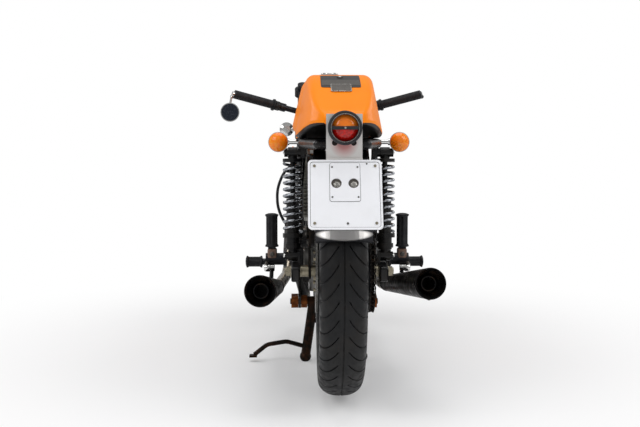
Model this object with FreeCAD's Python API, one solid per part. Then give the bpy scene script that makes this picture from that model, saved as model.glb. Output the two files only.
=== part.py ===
"""Cafe racer motorcycle on its centre stand, in millimetres.

+X is the rider's right, +Y is forward and +Z is up. The origin is where the front tyre touches the floor.
"""

import FreeCAD, Part
import math
import os

V = FreeCAD.Vector

# Overall layout
wheelbase = 1460.0
front_tyre_radius = 318.0
front_tyre_width = 100.0
rear_tyre_radius = 336.0
rear_tyre_width = 120.0
rear_lift = 12.0
seat_gap = 0.3
fit_gap = 0.3

# Steering geometry
rake = 28.0
fork_offset = 52.0
leg_spread = 95.0
head_low = 464.0
head_high = 620.0
head_radius = 30.0
stem_radius = 12.5
bearing_gap = 0.5

# Fork
stanchion_radius = 19.0
slider_radius = 25.0
slider_length = 330.0
stanchion_top = 668.0
yoke_thickness = 27.5
front_axle_radius = 8.5

# Wheels
rim_bead_radius = 231.0
rim_wall = 5.0
rim_flange = 14.0
front_rim_half = 34.0
rear_rim_half = 42.0
spoke_radius = 2.0
spokes_per_side = 18
spoke_sweep = 52.0
disc_thickness = 5.5
front_disc_radius = 138.0
front_disc_x = 56.0
rear_disc_radius = 115.0
rear_disc_x = 60.0
pad_gap = 2.5

# Rear axle, swingarm and shocks
rear_axle_radius = 9.0
axle_spacer_radius = 16.0
arm_inner = 107.0
arm_width = 24.0
arm_height = 42.0
arm_overrun = 55.0
pivot_y = -990.0
pivot_z = 385.0
pivot_tube_radius = 22.0
pivot_pin_radius = 10.0
shock_x = 127.0
shock_low_y = -1440.0
shock_low_z = 388.0
shock_top_y = -1420.0
shock_top_z = 671.0
shock_eye_radius = 15.0
shock_eye_width = 26.0
shock_stud_radius = 7.0
coil_outer_radius = 27.5
coil_wire_radius = 4.0
coil_turns = 10.5

# Chain drive
chain_x = 86.0
chain_width = 15.0
chain_height = 12.0
sprocket_teeth = 43
chain_pitch = 15.875
gearbox_teeth = 16
gearbox_y = -930.0
gearbox_z = 380.0
sprocket_thickness = 6.6

# Frame tubes
main_tube_radius = 16.0
backbone_radius = 22.5
rail_radius = 12.5
rail_x = 100.0
rail_z = 697.0
rail_rear_y = -1655.0
backbone_rear_y = -905.0
lower_rail_x = 88.0
lower_rail_z = 172.0
downtube_foot_y = -455.0
upright_x = 111.0
gusset_thickness = 8.0

# Stand
stand_pivot_y = -1058.0
stand_pivot_z = 195.0
stand_foot_y = -1040.0
stand_foot_x = 90.0
stand_top_x = 66.0
stand_tube_radius = 15.0
stand_foot_radius = 18.0
stand_pin_radius = 9.0
stand_plate_x = 104.0
stand_plate_thickness = 8.0
tang_reach = 258.0
tang_radius = 7.0

# Tank, seat and tail
tank_front_y = -402.0
tank_rear_y = -885.0
tank_half = 140.0
tank_top = 922.0
tank_bottom = 717.0
tunnel_gap = 6.0
tank_rest_half = 62.0
tank_rest_at = (-600.0, -700.0)
cap_y = -560.0
cap_radius = 34.0
cowl_rear_y = -1720.0
cowl_front_y = -1285.0
cowl_half = 122.0
cowl_top = 884.0
seat_base_z = 710.0
seat_top = 772.0
seat_half = 118.0

# Tail lamp, plate and indicators
lamp_y = -1800.0
lamp_z = 738.0
lamp_radius = 40.0
plate_side = 177.0
plate_thickness = 2.0
plate_top_y = -1770.0
plate_top_z = 661.0
plate_tilt = 24.8
plate_hole_pitch = 146.0
plate_hole_radius = 2.6
panel_width = 72.0
panel_height = 98.0
panel_drop = 8.5
panel_hole_pitch = 41.0
panel_hole_radius = 12.5
panel_hole_z = -60.5
hose_radius = 4.0
bracket_half = 44.0
bracket_sheet = 3.0
indicator_x = 166.0
indicator_y = -1430.0
indicator_z = 700.0
indicator_radius = 27.5
stalk_radius = 6.0

# Rear mudguard
guard_radius = 352.0
guard_half = 70.0
guard_crown = 20.0
guard_wall = 2.0
guard_rear_angle = 160.0
guard_front_angle = 42.0
front_guard_radius = 334.0
front_guard_half = 58.0
front_guard_crown = 16.0
front_guard_start = 48.0
front_guard_end = 168.0
lever_radius = 4.5

# Engine
case_half = 78.0
case_front_y = -492.0
case_rear_y = -915.0
case_bottom = 196.0
case_top = 430.0
barrel_y = -645.0
bore_spread = 52.0
barrel_radius = 44.0
fin_half_x = 112.0
fin_half_y = 82.0
fin_thickness = 3.0
fin_pitch = 13.0
barrel_fins = 9
head_fins = 5
port_x = 88.0
port_z = 612.0
air_box_top = 656.0
header_radius = 19.0

# Exhaust ends
left_silencer_rear = V(-209.0, -1660.0, 325.0)
left_silencer_front = V(-181.0, -1110.0, 248.0)
right_silencer_rear = V(225.0, -1660.0, 343.0)
right_silencer_front = V(164.0, -1110.0, 260.0)
silencer_rear_radius = 41.0
silencer_front_radius = 26.0
silencer_mouth_radius = 20.0
silencer_recess = 60.0

# Footrests
hanger_inner = 148.0
hanger_thickness = 7.0
pillion_y = -1310.0
pillion_z = 363.0
pillion_x = 188.0
pillion_low = 397.0
pillion_high = 495.0
rider_y = -1110.0
rider_z = 328.0
rider_inner = 222.0
rider_outer = 275.0
peg_radius = 16.5

# Handlebar
bar_clamp_at = 546.0
bar_radius = 11.0
bar_end = V(350.0, -352.0, 867.0)
grip_inner = 205.0
grip_radius = 16.5
mirror_radius = 36.0
mirror_centre = V(-371.0, -360.0, 800.0)

# Lamps and instruments at the front
headlamp_radius = 90.0
headlamp_y = -95.0
headlamp_z = 780.0
clock_radius = 40.0
clock_spread = 48.0
clock_ahead = 112.0

front_axle = V(0.0, 0.0, front_tyre_radius)
rear_axle = V(0.0, -wheelbase, rear_tyre_radius + rear_lift)
tilt = math.radians(rake)
steer_up = V(0.0, -math.sin(tilt), math.cos(tilt))
steer_ahead = V(0.0, math.cos(tilt), math.sin(tilt))
X_AXIS = V(1.0, 0.0, 0.0)
Y_AXIS = V(0.0, 1.0, 0.0)
Z_AXIS = V(0.0, 0.0, 1.0)


def fork(x, up, ahead=0.0):
    """A point at a height along the steering axis, x to the side and so far ahead of that axis."""
    return front_axle + steer_up * up + steer_ahead * (ahead - fork_offset) + X_AXIS * x


def block(x0, x1, y0, y1, z0, z1):
    return Part.makeBox(x1 - x0, y1 - y0, z1 - z0, V(x0, y0, z0))


def rod(start, end, radius):
    return Part.makeCylinder(radius, (end - start).Length, start, end - start)


def pipe(start, end, radius, bore):
    return rod(start, end, radius).cut(rod(start, end, bore))


def cone(start, end, radius_start, radius_end):
    return Part.makeCone(radius_start, radius_end, (end - start).Length, start, end - start)


def dome(at, facing, radius, rise):
    """A solid cap of a sphere on a flat round base."""
    ball = (radius * radius + rise * rise) / (2 * rise)
    turn = math.asin(radius / ball) / 2 if rise < radius else math.pi / 4
    side = Z_AXIS if abs(facing.z) < 0.9 else X_AXIS
    side = (side - facing * side.dot(facing)).normalize()
    middle = at + facing * (rise - ball + ball * math.cos(turn)) + side * (ball * math.sin(turn))
    top, rim_point = at + facing * rise, at + side * radius
    outline = [line(at, top), Part.Arc(top, middle, rim_point).toShape(), line(rim_point, at)]
    return Part.Face(Part.Wire(outline)).revolve(at, facing, 360)


def join(*shapes):
    return shapes[0].fuse(list(shapes[1:])).removeSplitter()


def twin(shape):
    return shape.mirror(V(0, 0, 0), X_AXIS)


def both(shape):
    return [shape, twin(shape)]


def polygon(points):
    return Part.Face(Part.makePolygon(points + [points[0]]))


def plate_yz(outline, x0, x1):
    """A flat plate whose outline is given as (y, z) corners."""
    return polygon([V(x0, y, z) for y, z in outline]).extrude(V(x1 - x0, 0, 0))


def turned(profile, centre):
    """A ring about the X axis through centre, from an outline of (x, radius) corners."""
    face = polygon([centre + V(x, 0, radius) for x, radius in profile])
    return face.revolve(centre, X_AXIS, 360)


def soften(shape, radius, chosen):
    """Round those edges for which chosen(edge) is true."""
    return shape.makeFillet(radius, [edge for edge in shape.Edges if chosen(edge)])


def runs_along(axis):
    def test(edge):
        ends = edge.Vertexes
        return len(ends) == 2 and (ends[1].Point - ends[0].Point).cross(axis).Length < 1e-6
    return test


def corner_arc(before, corner, after, bend):
    """Start, middle and end of the arc that rounds a corner."""
    back = (before - corner).normalize()
    on = (after - corner).normalize()
    half = back.getAngle(on) / 2
    inward = (back + on).normalize()
    reach = bend / math.tan(half)
    return corner + back * reach, corner + inward * (bend / math.sin(half) - bend), corner + on * reach


def line(start, end):
    return Part.LineSegment(start, end).toShape()


def route(points, bend):
    """Straight runs joined by tangent arcs."""
    edges, start = [], points[0]
    for before, corner, after in zip(points, points[1:], points[2:]):
        first, middle, last = corner_arc(before, corner, after, bend)
        edges += [line(start, first), Part.Arc(first, middle, last).toShape()]
        start = last
    edges.append(line(start, points[-1]))
    return Part.Wire(edges)


def rounded(corners, radii):
    """A closed outline whose corners are rounded."""
    count = len(corners)
    arcs = [corner_arc(corners[i - 1], corners[i], corners[(i + 1) % count], radii[i]) for i in range(count)]
    edges = []
    for i, (first, middle, last) in enumerate(arcs):
        edges += [Part.Arc(first, middle, last).toShape(), line(last, arcs[(i + 1) % count][0])]
    return Part.Wire(edges)


def rounded_yz(outline, radius, x0, x1):
    """A flat plate with rounded corners whose outline is given as (y, z) corners."""
    wire = rounded([V(x0, y, z) for y, z in outline], [radius] * len(outline))
    return Part.Face(wire).extrude(V(x1 - x0, 0, 0))


def bent(points, radius, bend):
    """A round bar along a route."""
    section = Part.Wire([Part.makeCircle(radius, points[0], points[1] - points[0])])
    return route(points, bend).makePipeShell([section], True, False)


def hoop(y, half_low, half_high, low, high, round_low, round_high):
    """A closed upright section across the machine, with rounded corners."""
    corners = [V(half_low, y, low), V(half_high, y, high), V(-half_high, y, high), V(-half_low, y, low)]
    return rounded(corners, [round_low, round_high, round_high, round_low])


def save(name, *shapes):
    solids = [solid for shape in shapes for solid in shape.Solids]
    made = solids[0] if len(solids) == 1 else Part.makeCompound(solids)
    made.exportStep(os.path.join("parts", name + ".step"))


# Wheels


def tyre(centre, outer, width, rim_half):
    """A tyre's ring: beads between the rim's flanges, round sides and a round crown."""
    inner = rim_bead_radius + rim_wall + fit_gap
    seat = rim_half - rim_wall - fit_gap
    clear = rim_bead_radius + rim_flange + rim_wall
    middle = (clear + outer) / 2
    half_height = (outer - clear) / 2
    profile = [(seat, inner), (seat, clear)]
    steps = 4
    for k in range(1, 2 * steps):
        turn = math.pi * k / (2 * steps)
        x = max(width / 2 * math.sin(turn) ** 0.8, seat * math.cos(turn) if turn < math.pi / 2 else 0)
        profile.append((x, middle - half_height * math.cos(turn)))
    profile += [(0.0, outer)]
    mirrored = [(-x, radius) for x, radius in reversed(profile[:-1])]
    return turned(profile + mirrored, centre)


def rim(centre, half):
    low, high = rim_bead_radius, rim_bead_radius + rim_flange
    well = rim_bead_radius - 9
    inside = low + rim_wall
    profile = [(half, low - 2), (half, high), (half - rim_wall, high), (half - rim_wall, inside),
               (-half + rim_wall, inside), (-half + rim_wall, high), (-half, high), (-half, low - 2),
               (-half * 0.45, well), (half * 0.45, well)]
    return turned(profile, centre)


def spokes(centre, hub_radius, flange_left, flange_right):
    """Crossed wire spokes from both hub flanges to the rim."""
    made = []
    for flange, side in ((flange_left, -1), (flange_right, 1)):
        for k in range(spokes_per_side):
            lean = 1 if k % 2 else -1
            at_hub = math.radians(360.0 * k / spokes_per_side + 5 * side)
            at_rim = at_hub + math.radians(lean * spoke_sweep)
            start = V(flange + 3 * lean, hub_radius * math.cos(at_hub), hub_radius * math.sin(at_hub))
            reach = rim_bead_radius - 5
            end = V(side * 7 + 3 * lean, reach * math.cos(at_rim), reach * math.sin(at_rim))
            made.append(rod(centre + start, centre + end, spoke_radius))
    return made


def front_wheel():
    """Spoked wheel with a hub that carries a disc on each side."""
    bore = front_axle_radius + fit_gap
    face = front_disc_x
    hub = turned([(face, bore), (face, 44), (face - 8, 52), (36, 52), (34, 34), (-34, 34), (-36, 52),
                  (-face + 8, 52), (-face, 44), (-face, bore)], front_axle)
    return join(rim(front_axle, front_rim_half), hub, *spokes(front_axle, 46, -39, 39))


def disc(centre, x0, x1, outer, inner, holes):
    """A brake disc with two rows of drilled holes."""
    made = turned([(x0, inner), (x0, outer), (x1, outer), (x1, inner)], centre)
    drills = []
    for row in (0, 1):
        radius = outer - 12 - 14 * row
        for k in range(holes):
            turn = 2 * math.pi * (k + 0.5 * row) / holes
            at = centre + V(x0, radius * math.cos(turn), radius * math.sin(turn))
            drills.append(Part.makeCylinder(3.5, x1 - x0, at, X_AXIS))
    return made.cut(drills)


def front_discs():
    outer_face = front_disc_x + disc_thickness
    right = disc(front_axle, front_disc_x, outer_face, front_disc_radius, 30, 24)
    return both(right)


def rear_wheel():
    """Spoked wheel: disc flange on the left, sprocket carrier on the right."""
    bore = rear_axle_radius + fit_gap
    left = -rear_disc_x
    right = chain_x - sprocket_thickness / 2
    nose = chain_x + sprocket_thickness / 2 + 1
    hub = turned([(left + 2.3, bore), (left + 2.3, 20), (left, 20), (left, 55), (left + 9, 60), (-40, 60),
                  (-38, 38), (38, 38), (40, 60), (52, 64), (right, 64), (right, 26), (nose, 26),
                  (nose, bore)], rear_axle)
    return join(rim(rear_axle, rear_rim_half), hub, *spokes(rear_axle, 54, -44, 44))


def pitch_radius(teeth):
    return chain_pitch / 2 / math.sin(math.pi / teeth)


def sprocket():
    """Toothed ring on the carrier."""
    pitch = pitch_radius(sprocket_teeth)
    root, tip = pitch - 6.5, pitch + 3.5
    corners = []
    for k in range(sprocket_teeth):
        for share, radius in ((-0.30, root), (-0.11, tip), (0.11, tip), (0.30, root)):
            turn = 2 * math.pi * (k + share) / sprocket_teeth
            corners.append(rear_axle + V(0, radius * math.cos(turn), radius * math.sin(turn)))
    x0 = chain_x - sprocket_thickness / 2
    wheel = polygon([corner + V(x0, 0, 0) for corner in corners]).extrude(V(sprocket_thickness, 0, 0))
    wheel = wheel.cut(rod(rear_axle + V(x0, 0, 0), rear_axle + V(x0 + 20, 0, 0), 26 + fit_gap))
    windows = []
    for k in range(6):
        turn = math.pi * k / 3
        at = rear_axle + V(x0, 82 * math.cos(turn), 82 * math.sin(turn))
        windows.append(Part.makeCylinder(11, sprocket_thickness, at, X_AXIS))
    return wheel.cut(windows)


def rear_disc():
    x1 = -rear_disc_x
    return disc(rear_axle, x1 - disc_thickness, x1, rear_disc_radius, 30, 22)


# Frame


def gusset():
    """Side plate behind the engine that carries the swingarm pin."""
    inner = arm_inner + arm_width + fit_gap
    outline = [(-922.0, pivot_z + 85), (pivot_y + 8, pivot_z + 85), (pivot_y - 32, pivot_z + 10),
               (pivot_y - 26, pivot_z - 45), (pivot_y + 5, pivot_z - 85), (-922.0, pivot_z - 85)]
    return rounded_yz(outline, 8, inner, inner + gusset_thickness)


def gusset_face():
    return arm_inner + arm_width + fit_gap + gusset_thickness


def stand_plate():
    """Plate below the gusset that carries the stand's pin."""
    outline = [(-880.0, lower_rail_z - 14), (-880.0, lower_rail_z + 12), (-938.0, 268),
               (stand_pivot_y - 20, stand_pivot_z + 22), (stand_pivot_y - 22, stand_pivot_z - 18)]
    return rounded_yz(outline, 8, stand_plate_x, stand_plate_x + stand_plate_thickness)


def cradle_side():
    """Downtube, lower rail and upright of one side as one bent tube."""
    points = [V(12, -292, 757), V(lower_rail_x, downtube_foot_y, 262), V(lower_rail_x, -535, lower_rail_z),
              V(lower_rail_x, -900, lower_rail_z), V(upright_x, -940, 262), V(upright_x, -934, 560),
              V(rail_x, backbone_rear_y, rail_z - 6)]
    return bent(points, main_tube_radius, 55)


def backbone_rear():
    return V(0, backbone_rear_y, rail_z - 13)


def engine_lugs(side):
    """Lugs between the cradle and the crankcase, and the ties of the stand plate and the gusset."""
    front = sorted((side * 72.0, side * 82.0))
    rear = sorted((side * (case_half + fit_gap), side * 102.0))
    outer = side * (gusset_face() - 1)
    inner = side * (upright_x - 4)
    return [block(*front, case_front_y + seat_gap, -440, 292, 320),
            block(*rear, -942, case_rear_y + 32, 238, 262),
            rod(V(inner, -940, 322), V(outer, -940, 322), 12),
            rod(V(inner, -937, 440), V(outer, -937, 440), 12),
            rod(V(side * (lower_rail_x + 4), -895, lower_rail_z), V(side * (stand_plate_x + 1), -895, lower_rail_z), 9)]


def frame():
    """Tubular cradle with its steering head, backbone and side plates."""
    low, high = fork(0, head_low), fork(0, head_high)
    ring = steer_up * 12
    head = [rod(low, high, head_radius), rod(low, low + ring, head_radius + 4),
            rod(high - ring, high, head_radius + 4)]
    backbone = rod(fork(0, head_high - 62), backbone_rear(), backbone_radius)
    cross = rod(V(-rail_x, backbone_rear_y, rail_z), V(rail_x, backbone_rear_y, rail_z), rail_radius)
    sides = []
    for side in (-1, 1):
        stub = V(side * rail_x, backbone_rear_y, rail_z)
        sides += [rod(stub, stub + V(0, -24, 0), rail_radius), *engine_lugs(side)]
    pin_end = gusset_face() + 7
    pivot_pin = rod(V(-pin_end, pivot_y, pivot_z), V(pin_end, pivot_y, pivot_z), pivot_pin_radius)
    pin_end = stand_plate_x + stand_plate_thickness + 26
    stand_pin = rod(V(-pin_end, stand_pivot_y, stand_pivot_z), V(pin_end, stand_pivot_y, stand_pivot_z),
                    stand_pin_radius)
    brace = rod(V(-lower_rail_x, -560, lower_rail_z), V(lower_rail_x, -560, lower_rail_z), 11)
    rests = [block(-tank_rest_half, tank_rest_half, y - 10, y + 10, tank_bottom - seat_gap - 12,
                   tank_bottom - seat_gap) for y in tank_rest_at]
    made = join(*head, backbone, cross, cradle_side(), twin(cradle_side()), *both(gusset()), *both(stand_plate()),
                *sides, pivot_pin, stand_pin, brace, *rests)
    return made.cut(rod(low - steer_up, high + steer_up, stem_radius + fit_gap))


def guard_section(gap, wall):
    """Outline of the mudguard's blade as (x, radius) corners, grown by gap on its outer side."""
    steps = 6
    outer, inner = [], []
    for k in range(-steps, steps + 1):
        share = k / steps
        sag = guard_crown * share * share
        outer.append((guard_half * share, guard_radius + guard_wall + gap - sag))
        inner.append((guard_half * share, guard_radius - sag - wall))
    return outer + inner[::-1]


def guard_sweep(gap, wall, start, end):
    face = polygon([rear_axle + V(x, radius, 0) for x, radius in guard_section(gap, wall)])
    face.rotate(rear_axle, X_AXIS, start)
    return face.revolve(rear_axle, X_AXIS, end - start)


def rear_mudguard():
    """Crowned blade over the rear wheel with a rolled rear lip."""
    blade = guard_sweep(0, 0, guard_front_angle, guard_rear_angle)
    turn = math.radians(guard_rear_angle)
    lip = []
    steps = 6
    for k in range(-steps, steps + 1):
        share = k / steps
        radius = guard_radius + guard_wall / 2 - guard_crown * share * share
        lip.append(rear_axle + V(guard_half * share * 0.985, radius * math.cos(turn), radius * math.sin(turn)))
    bead = [rod(a, b, 2.6) for a, b in zip(lip, lip[1:])] + [Part.makeSphere(2.6, p) for p in lip]
    return join(blade, *bead)


def seat_rails():
    """Rear loop of the frame with its stays, shock studs and mudguard tabs."""
    start = backbone_rear_y - 24 - fit_gap
    points = [V(rail_x, start, rail_z), V(rail_x, -1500, rail_z), V(62, rail_rear_y, rail_z)]
    inner = arm_inner + arm_width + fit_gap
    parts = [rod(V(-62, rail_rear_y, rail_z), V(62, rail_rear_y, rail_z), rail_radius),
             rod(V(-rail_x, -1195, rail_z), V(rail_x, -1195, rail_z), 9)]
    for side in (-1, 1):
        placed = [V(side * p.x, p.y, p.z) for p in points]
        stay = [V(side * 104, -1375, rail_z - 6), V(side * 118, pivot_y + 6, pivot_z + 66)]
        ear = V(side * rail_x, shock_top_y, shock_top_z)
        parts += [bent(placed, rail_radius, 120), Part.makeSphere(rail_radius, placed[-1]),
                  rod(stay[0], stay[1], 9.5), Part.makeSphere(9.5, stay[1]),
                  rod(stay[1], V(side * inner, stay[1].y, stay[1].z), 9.5),
                  block(*sorted((side * 93.0, side * 105.0)), ear.y - 17, ear.y + 17, ear.z - 14, rail_z),
                  rod(ear, V(side * (shock_x + shock_eye_width / 2 + 1), ear.y, ear.z), shock_stud_radius),
                  rod(V(side * (shock_x + shock_eye_width / 2 + 0.5), ear.y, ear.z),
                      V(side * (shock_x + shock_eye_width / 2 + 10), ear.y, ear.z), 12),
                  rod(V(side * 104, ear.y, ear.z), V(side * (shock_x - shock_eye_width / 2 - 0.5), ear.y, ear.z), 12)]
    tabs = [rod(V(side * 94, -wheelbase, rail_z - 9), V(side * 60, -wheelbase, rail_z - 9), 6)
            for side in (-1, 1)]
    tabs = [tab.cut(guard_sweep(fit_gap, 30, 60, 120)) for tab in tabs]
    return join(*parts, *tabs, hose_clip())


def swingarm():
    """Pivot tube and two arms that end behind the axle."""
    tube = pipe(V(-arm_inner - arm_width, pivot_y, pivot_z), V(arm_inner + arm_width, pivot_y, pivot_z),
                pivot_tube_radius, pivot_pin_radius + fit_gap)
    end_y, end_z = rear_axle.y - arm_overrun, rear_axle.z - 3
    half = arm_height / 2
    outline = [(pivot_y, pivot_z + half), (end_y, end_z + half), (end_y, end_z - half), (pivot_y, pivot_z - half)]
    arms, lugs, bores = [], [], []
    for side in (-1, 1):
        x0, x1 = sorted((side * arm_inner, side * (arm_inner + arm_width)))
        arm = rounded_yz(outline, 9, x0, x1)
        arms.append(soften(arm, 5, lambda e: e.Length > 300))
        ear_x = sorted((side * arm_inner, side * (shock_x - shock_eye_width / 2 - 0.5)))
        lugs.append(rounded_yz([(shock_low_y - 20, 350), (shock_low_y - 14, shock_low_z + 14),
                                (shock_low_y + 14, shock_low_z + 14), (shock_low_y + 20, 350)], 6, *ear_x))
        stud_end = shock_x + shock_eye_width / 2
        lugs.append(rod(V(side * (arm_inner + 2), shock_low_y, shock_low_z),
                        V(side * (stud_end + 1), shock_low_y, shock_low_z), shock_stud_radius))
        lugs.append(rod(V(side * (stud_end + 0.5), shock_low_y, shock_low_z),
                        V(side * (stud_end + 9), shock_low_y, shock_low_z), 11))
        bores.append(rod(rear_axle + V(side * (arm_inner - 5), 0, 0),
                         rear_axle + V(side * (arm_inner + arm_width + 5), 0, 0), rear_axle_radius + fit_gap))
    bridge = rod(V(-arm_inner - 4, pivot_y - 70, pivot_z - 5), V(arm_inner + 4, pivot_y - 70, pivot_z - 5), 13)
    pin_hole = rod(V(-140, pivot_y, pivot_z), V(140, pivot_y, pivot_z), pivot_pin_radius + fit_gap)
    made = join(tube, *arms, *lugs, bridge)
    return made.cut(bores + [pin_hole])


def rear_axle_set():
    """Axle with its nuts, adjuster plates and spacers."""
    outer = arm_inner + arm_width
    shaft = rod(rear_axle + V(-outer - 18, 0, 0), rear_axle + V(outer + 18, 0, 0), rear_axle_radius)
    made = [shaft]
    for side in (-1, 1):
        face = rear_axle + V(side * (outer + fit_gap), 0, 0)
        made.append(rod(face, face + V(side * 3, 0, 0), 17))
        made.append(nut(face + V(side * 3, 0, 0), side, 14, 11))
    left_hub = -rear_disc_x + 2.3 - fit_gap
    made.append(rod(rear_axle + V(-arm_inner + fit_gap, 0, 0), rear_axle + V(left_hub, 0, 0), axle_spacer_radius))
    right_hub = chain_x + sprocket_thickness / 2 + 1 + fit_gap
    made.append(rod(rear_axle + V(right_hub, 0, 0), rear_axle + V(arm_inner - fit_gap, 0, 0), axle_spacer_radius))
    return join(*made)


def nut(at, side, radius, length):
    """A hexagon on the X axis, from at outwards."""
    corners = []
    for k in range(6):
        turn = math.pi * k / 3
        corners.append(at + V(0, radius * math.cos(turn), radius * math.sin(turn)))
    return polygon(corners).extrude(V(side * length, 0, 0))


def shock_frame(side):
    low = V(side * shock_x, shock_low_y, shock_low_z)
    top = V(side * shock_x, shock_top_y, shock_top_z)
    return low, top, (top - low).normalize()


def shock_damper(side):
    """Damper body, rod, spring seats and both eyes of one shock."""
    low, top, up = shock_frame(side)
    length = (top - low).Length
    half = shock_eye_width / 2
    eyes = []
    for at in (low, top):
        eyes.append(rod(at - X_AXIS * half, at + X_AXIS * half, shock_eye_radius))
    spring_low, spring_top = 62.0, length - 26
    body = [rod(low + up * 8, low + up * 18, 12.5), rod(low + up * 17, low + up * spring_low, 19),
            rod(low + up * 22, low + up * 34, 23),
            rod(low + up * (spring_low - 12), low + up * spring_low, coil_outer_radius),
            rod(low + up * spring_low, low + up * (spring_low + 95), 17.5),
            rod(low + up * spring_low, low + up * (length - 10), 7),
            rod(low + up * spring_top, low + up * (spring_top + 9), coil_outer_radius),
            rod(low + up * spring_top, low + up * (length - 8), 12.5)]
    bores = [rod(at - X_AXIS * (half + 2), at + X_AXIS * (half + 2), shock_stud_radius + fit_gap)
             for at in (low, top)]
    return join(*eyes, *body).cut(bores)


def shock_spring(side):
    """Coil between the two seats of one shock."""
    low, top, up = shock_frame(side)
    start, end = 62.0, (top - low).Length - 26
    free = end - start - 2 * coil_wire_radius - 2 * fit_gap
    middle = coil_outer_radius - coil_wire_radius
    helix = Part.makeHelix(free / coil_turns, free, middle)
    section = Part.Wire([Part.makeCircle(coil_wire_radius, V(middle, 0, 0), Y_AXIS)])
    coil = Part.Wire(helix.Edges).makePipeShell([section], True, True)
    base = low + up * (start + coil_wire_radius + fit_gap)
    coil.Placement = FreeCAD.Placement(base, FreeCAD.Rotation(Z_AXIS, up))
    return coil


def chain_loop(grow):
    """Closed wire round both sprockets, outside the pitch line by grow."""
    big = pitch_radius(sprocket_teeth) + grow
    small = pitch_radius(gearbox_teeth) + grow
    hub = V(0, rear_axle.y, rear_axle.z)
    nose = V(0, gearbox_y, gearbox_z)
    slope = math.atan2(nose.z - hub.z, nose.y - hub.y)
    lean = math.acos((big - small) / (nose - hub).Length)

    def at(centre, radius, turn):
        return centre + V(0, radius * math.cos(turn), radius * math.sin(turn))
    up, down = slope + lean, slope - lean
    edges = [Part.Arc(at(hub, big, up), at(hub, big, slope + math.pi), at(hub, big, down)).toShape(),
             line(at(hub, big, down), at(nose, small, down)),
             Part.Arc(at(nose, small, down), at(nose, small, slope), at(nose, small, up)).toShape(),
             line(at(nose, small, up), at(hub, big, up))]
    return Part.Wire(edges)


def chain_band(x0, x1, inner, outer):
    """A closed belt of the chain between two offsets from the pitch line."""
    solid = Part.Face(chain_loop(outer)).extrude(V(x1 - x0, 0, 0))
    hole = Part.Face(chain_loop(inner)).extrude(V(x1 - x0, 0, 0))
    return solid.cut(hole).translated(V(x0, 0, 0))


def chain():
    """Roller chain as one loop, open towards the sprocket's teeth."""
    half = chain_width / 2
    slot = sprocket_thickness / 2 + 1.2
    reach = chain_height / 2
    outer = [chain_band(chain_x - half, chain_x - slot, -reach, reach),
             chain_band(chain_x + slot, chain_x + half, -reach, reach),
             chain_band(chain_x - slot, chain_x + slot, 4.5, reach)]
    return join(*outer)


# Stand


def stand_half():
    return stand_top_x + 18


def centre_stand():
    """Splayed legs on a pivot tube, with round feet and a foot lever on the left."""
    pivot = V(0, stand_pivot_y, stand_pivot_z)
    half = stand_half()
    parts = [rod(pivot - X_AXIS * half, pivot + X_AXIS * half, 16)]
    for side in (-1, 1):
        top = V(side * stand_top_x, stand_pivot_y, stand_pivot_z - 6)
        foot = V(side * stand_foot_x, stand_foot_y, stand_foot_radius - 3)
        parts += [rod(top, foot, stand_tube_radius), Part.makeSphere(stand_foot_radius, foot)]
    brace_z = stand_pivot_z - 62
    parts.append(rod(V(-stand_top_x - 6, stand_pivot_y + 5, brace_z),
                     V(stand_top_x + 6, stand_pivot_y + 5, brace_z), 8))
    tang = [V(-stand_foot_x + 4, stand_foot_y - 3, 46), V(-150, stand_foot_y - 4, 64),
            V(-212, stand_foot_y - 4, 54), V(-tang_reach + 6, stand_foot_y - 4, 22)]
    parts.append(bent(tang, tang_radius, 45))
    end = tang[-1]
    parts.append(block(-tang_reach - 10, -tang_reach + 14, end.y - 13, end.y + 13, end.z - 7, end.z - 1))
    pin_hole = rod(pivot - X_AXIS * (half + 1), pivot + X_AXIS * (half + 1), stand_pin_radius + fit_gap)
    below = block(-tang_reach - 20, stand_foot_x + 40, stand_foot_y - 60, stand_foot_y + 60, -60, 0)
    return join(*parts).cut([pin_hole, below])


def stand_brackets():
    """Collars and outer lugs on the stand's pin, either side of the frame's stand plate."""
    at = V(0, stand_pivot_y, stand_pivot_z)
    collar = pipe(at + X_AXIS * (stand_half() + bearing_gap), at + X_AXIS * (stand_plate_x - fit_gap), 20,
                  stand_pin_radius + fit_gap)
    start = stand_plate_x + stand_plate_thickness + fit_gap
    lug = rounded_yz([(at.y - 22, at.z - 18), (at.y + 26, at.z - 18), (at.y + 26, at.z + 22),
                      (at.y - 22, at.z + 16)], 7, start, start + 22)
    lug = lug.cut(rod(at, at + X_AXIS * 200, stand_pin_radius + fit_gap))
    return both(collar) + both(lug)


# Engine


def slab(half_x, y0, y1, z0, z1, radius):
    """A level block with rounded upright corners."""
    corners = [V(half_x, y0, z0), V(half_x, y1, z0), V(-half_x, y1, z0), V(-half_x, y0, z0)]
    return Part.Face(rounded(corners, [radius] * 4)).extrude(V(0, 0, z1 - z0))


def cover(side, y, z, radius, start, depth):
    """A round side cover with a stepped face."""
    at = V(side * start, y, z)
    out = X_AXIS * side
    body = rod(at, at + out * depth, radius)
    step = rod(at + out * depth, at + out * (depth + 6), radius * 0.72)
    return join(body, step)


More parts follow.
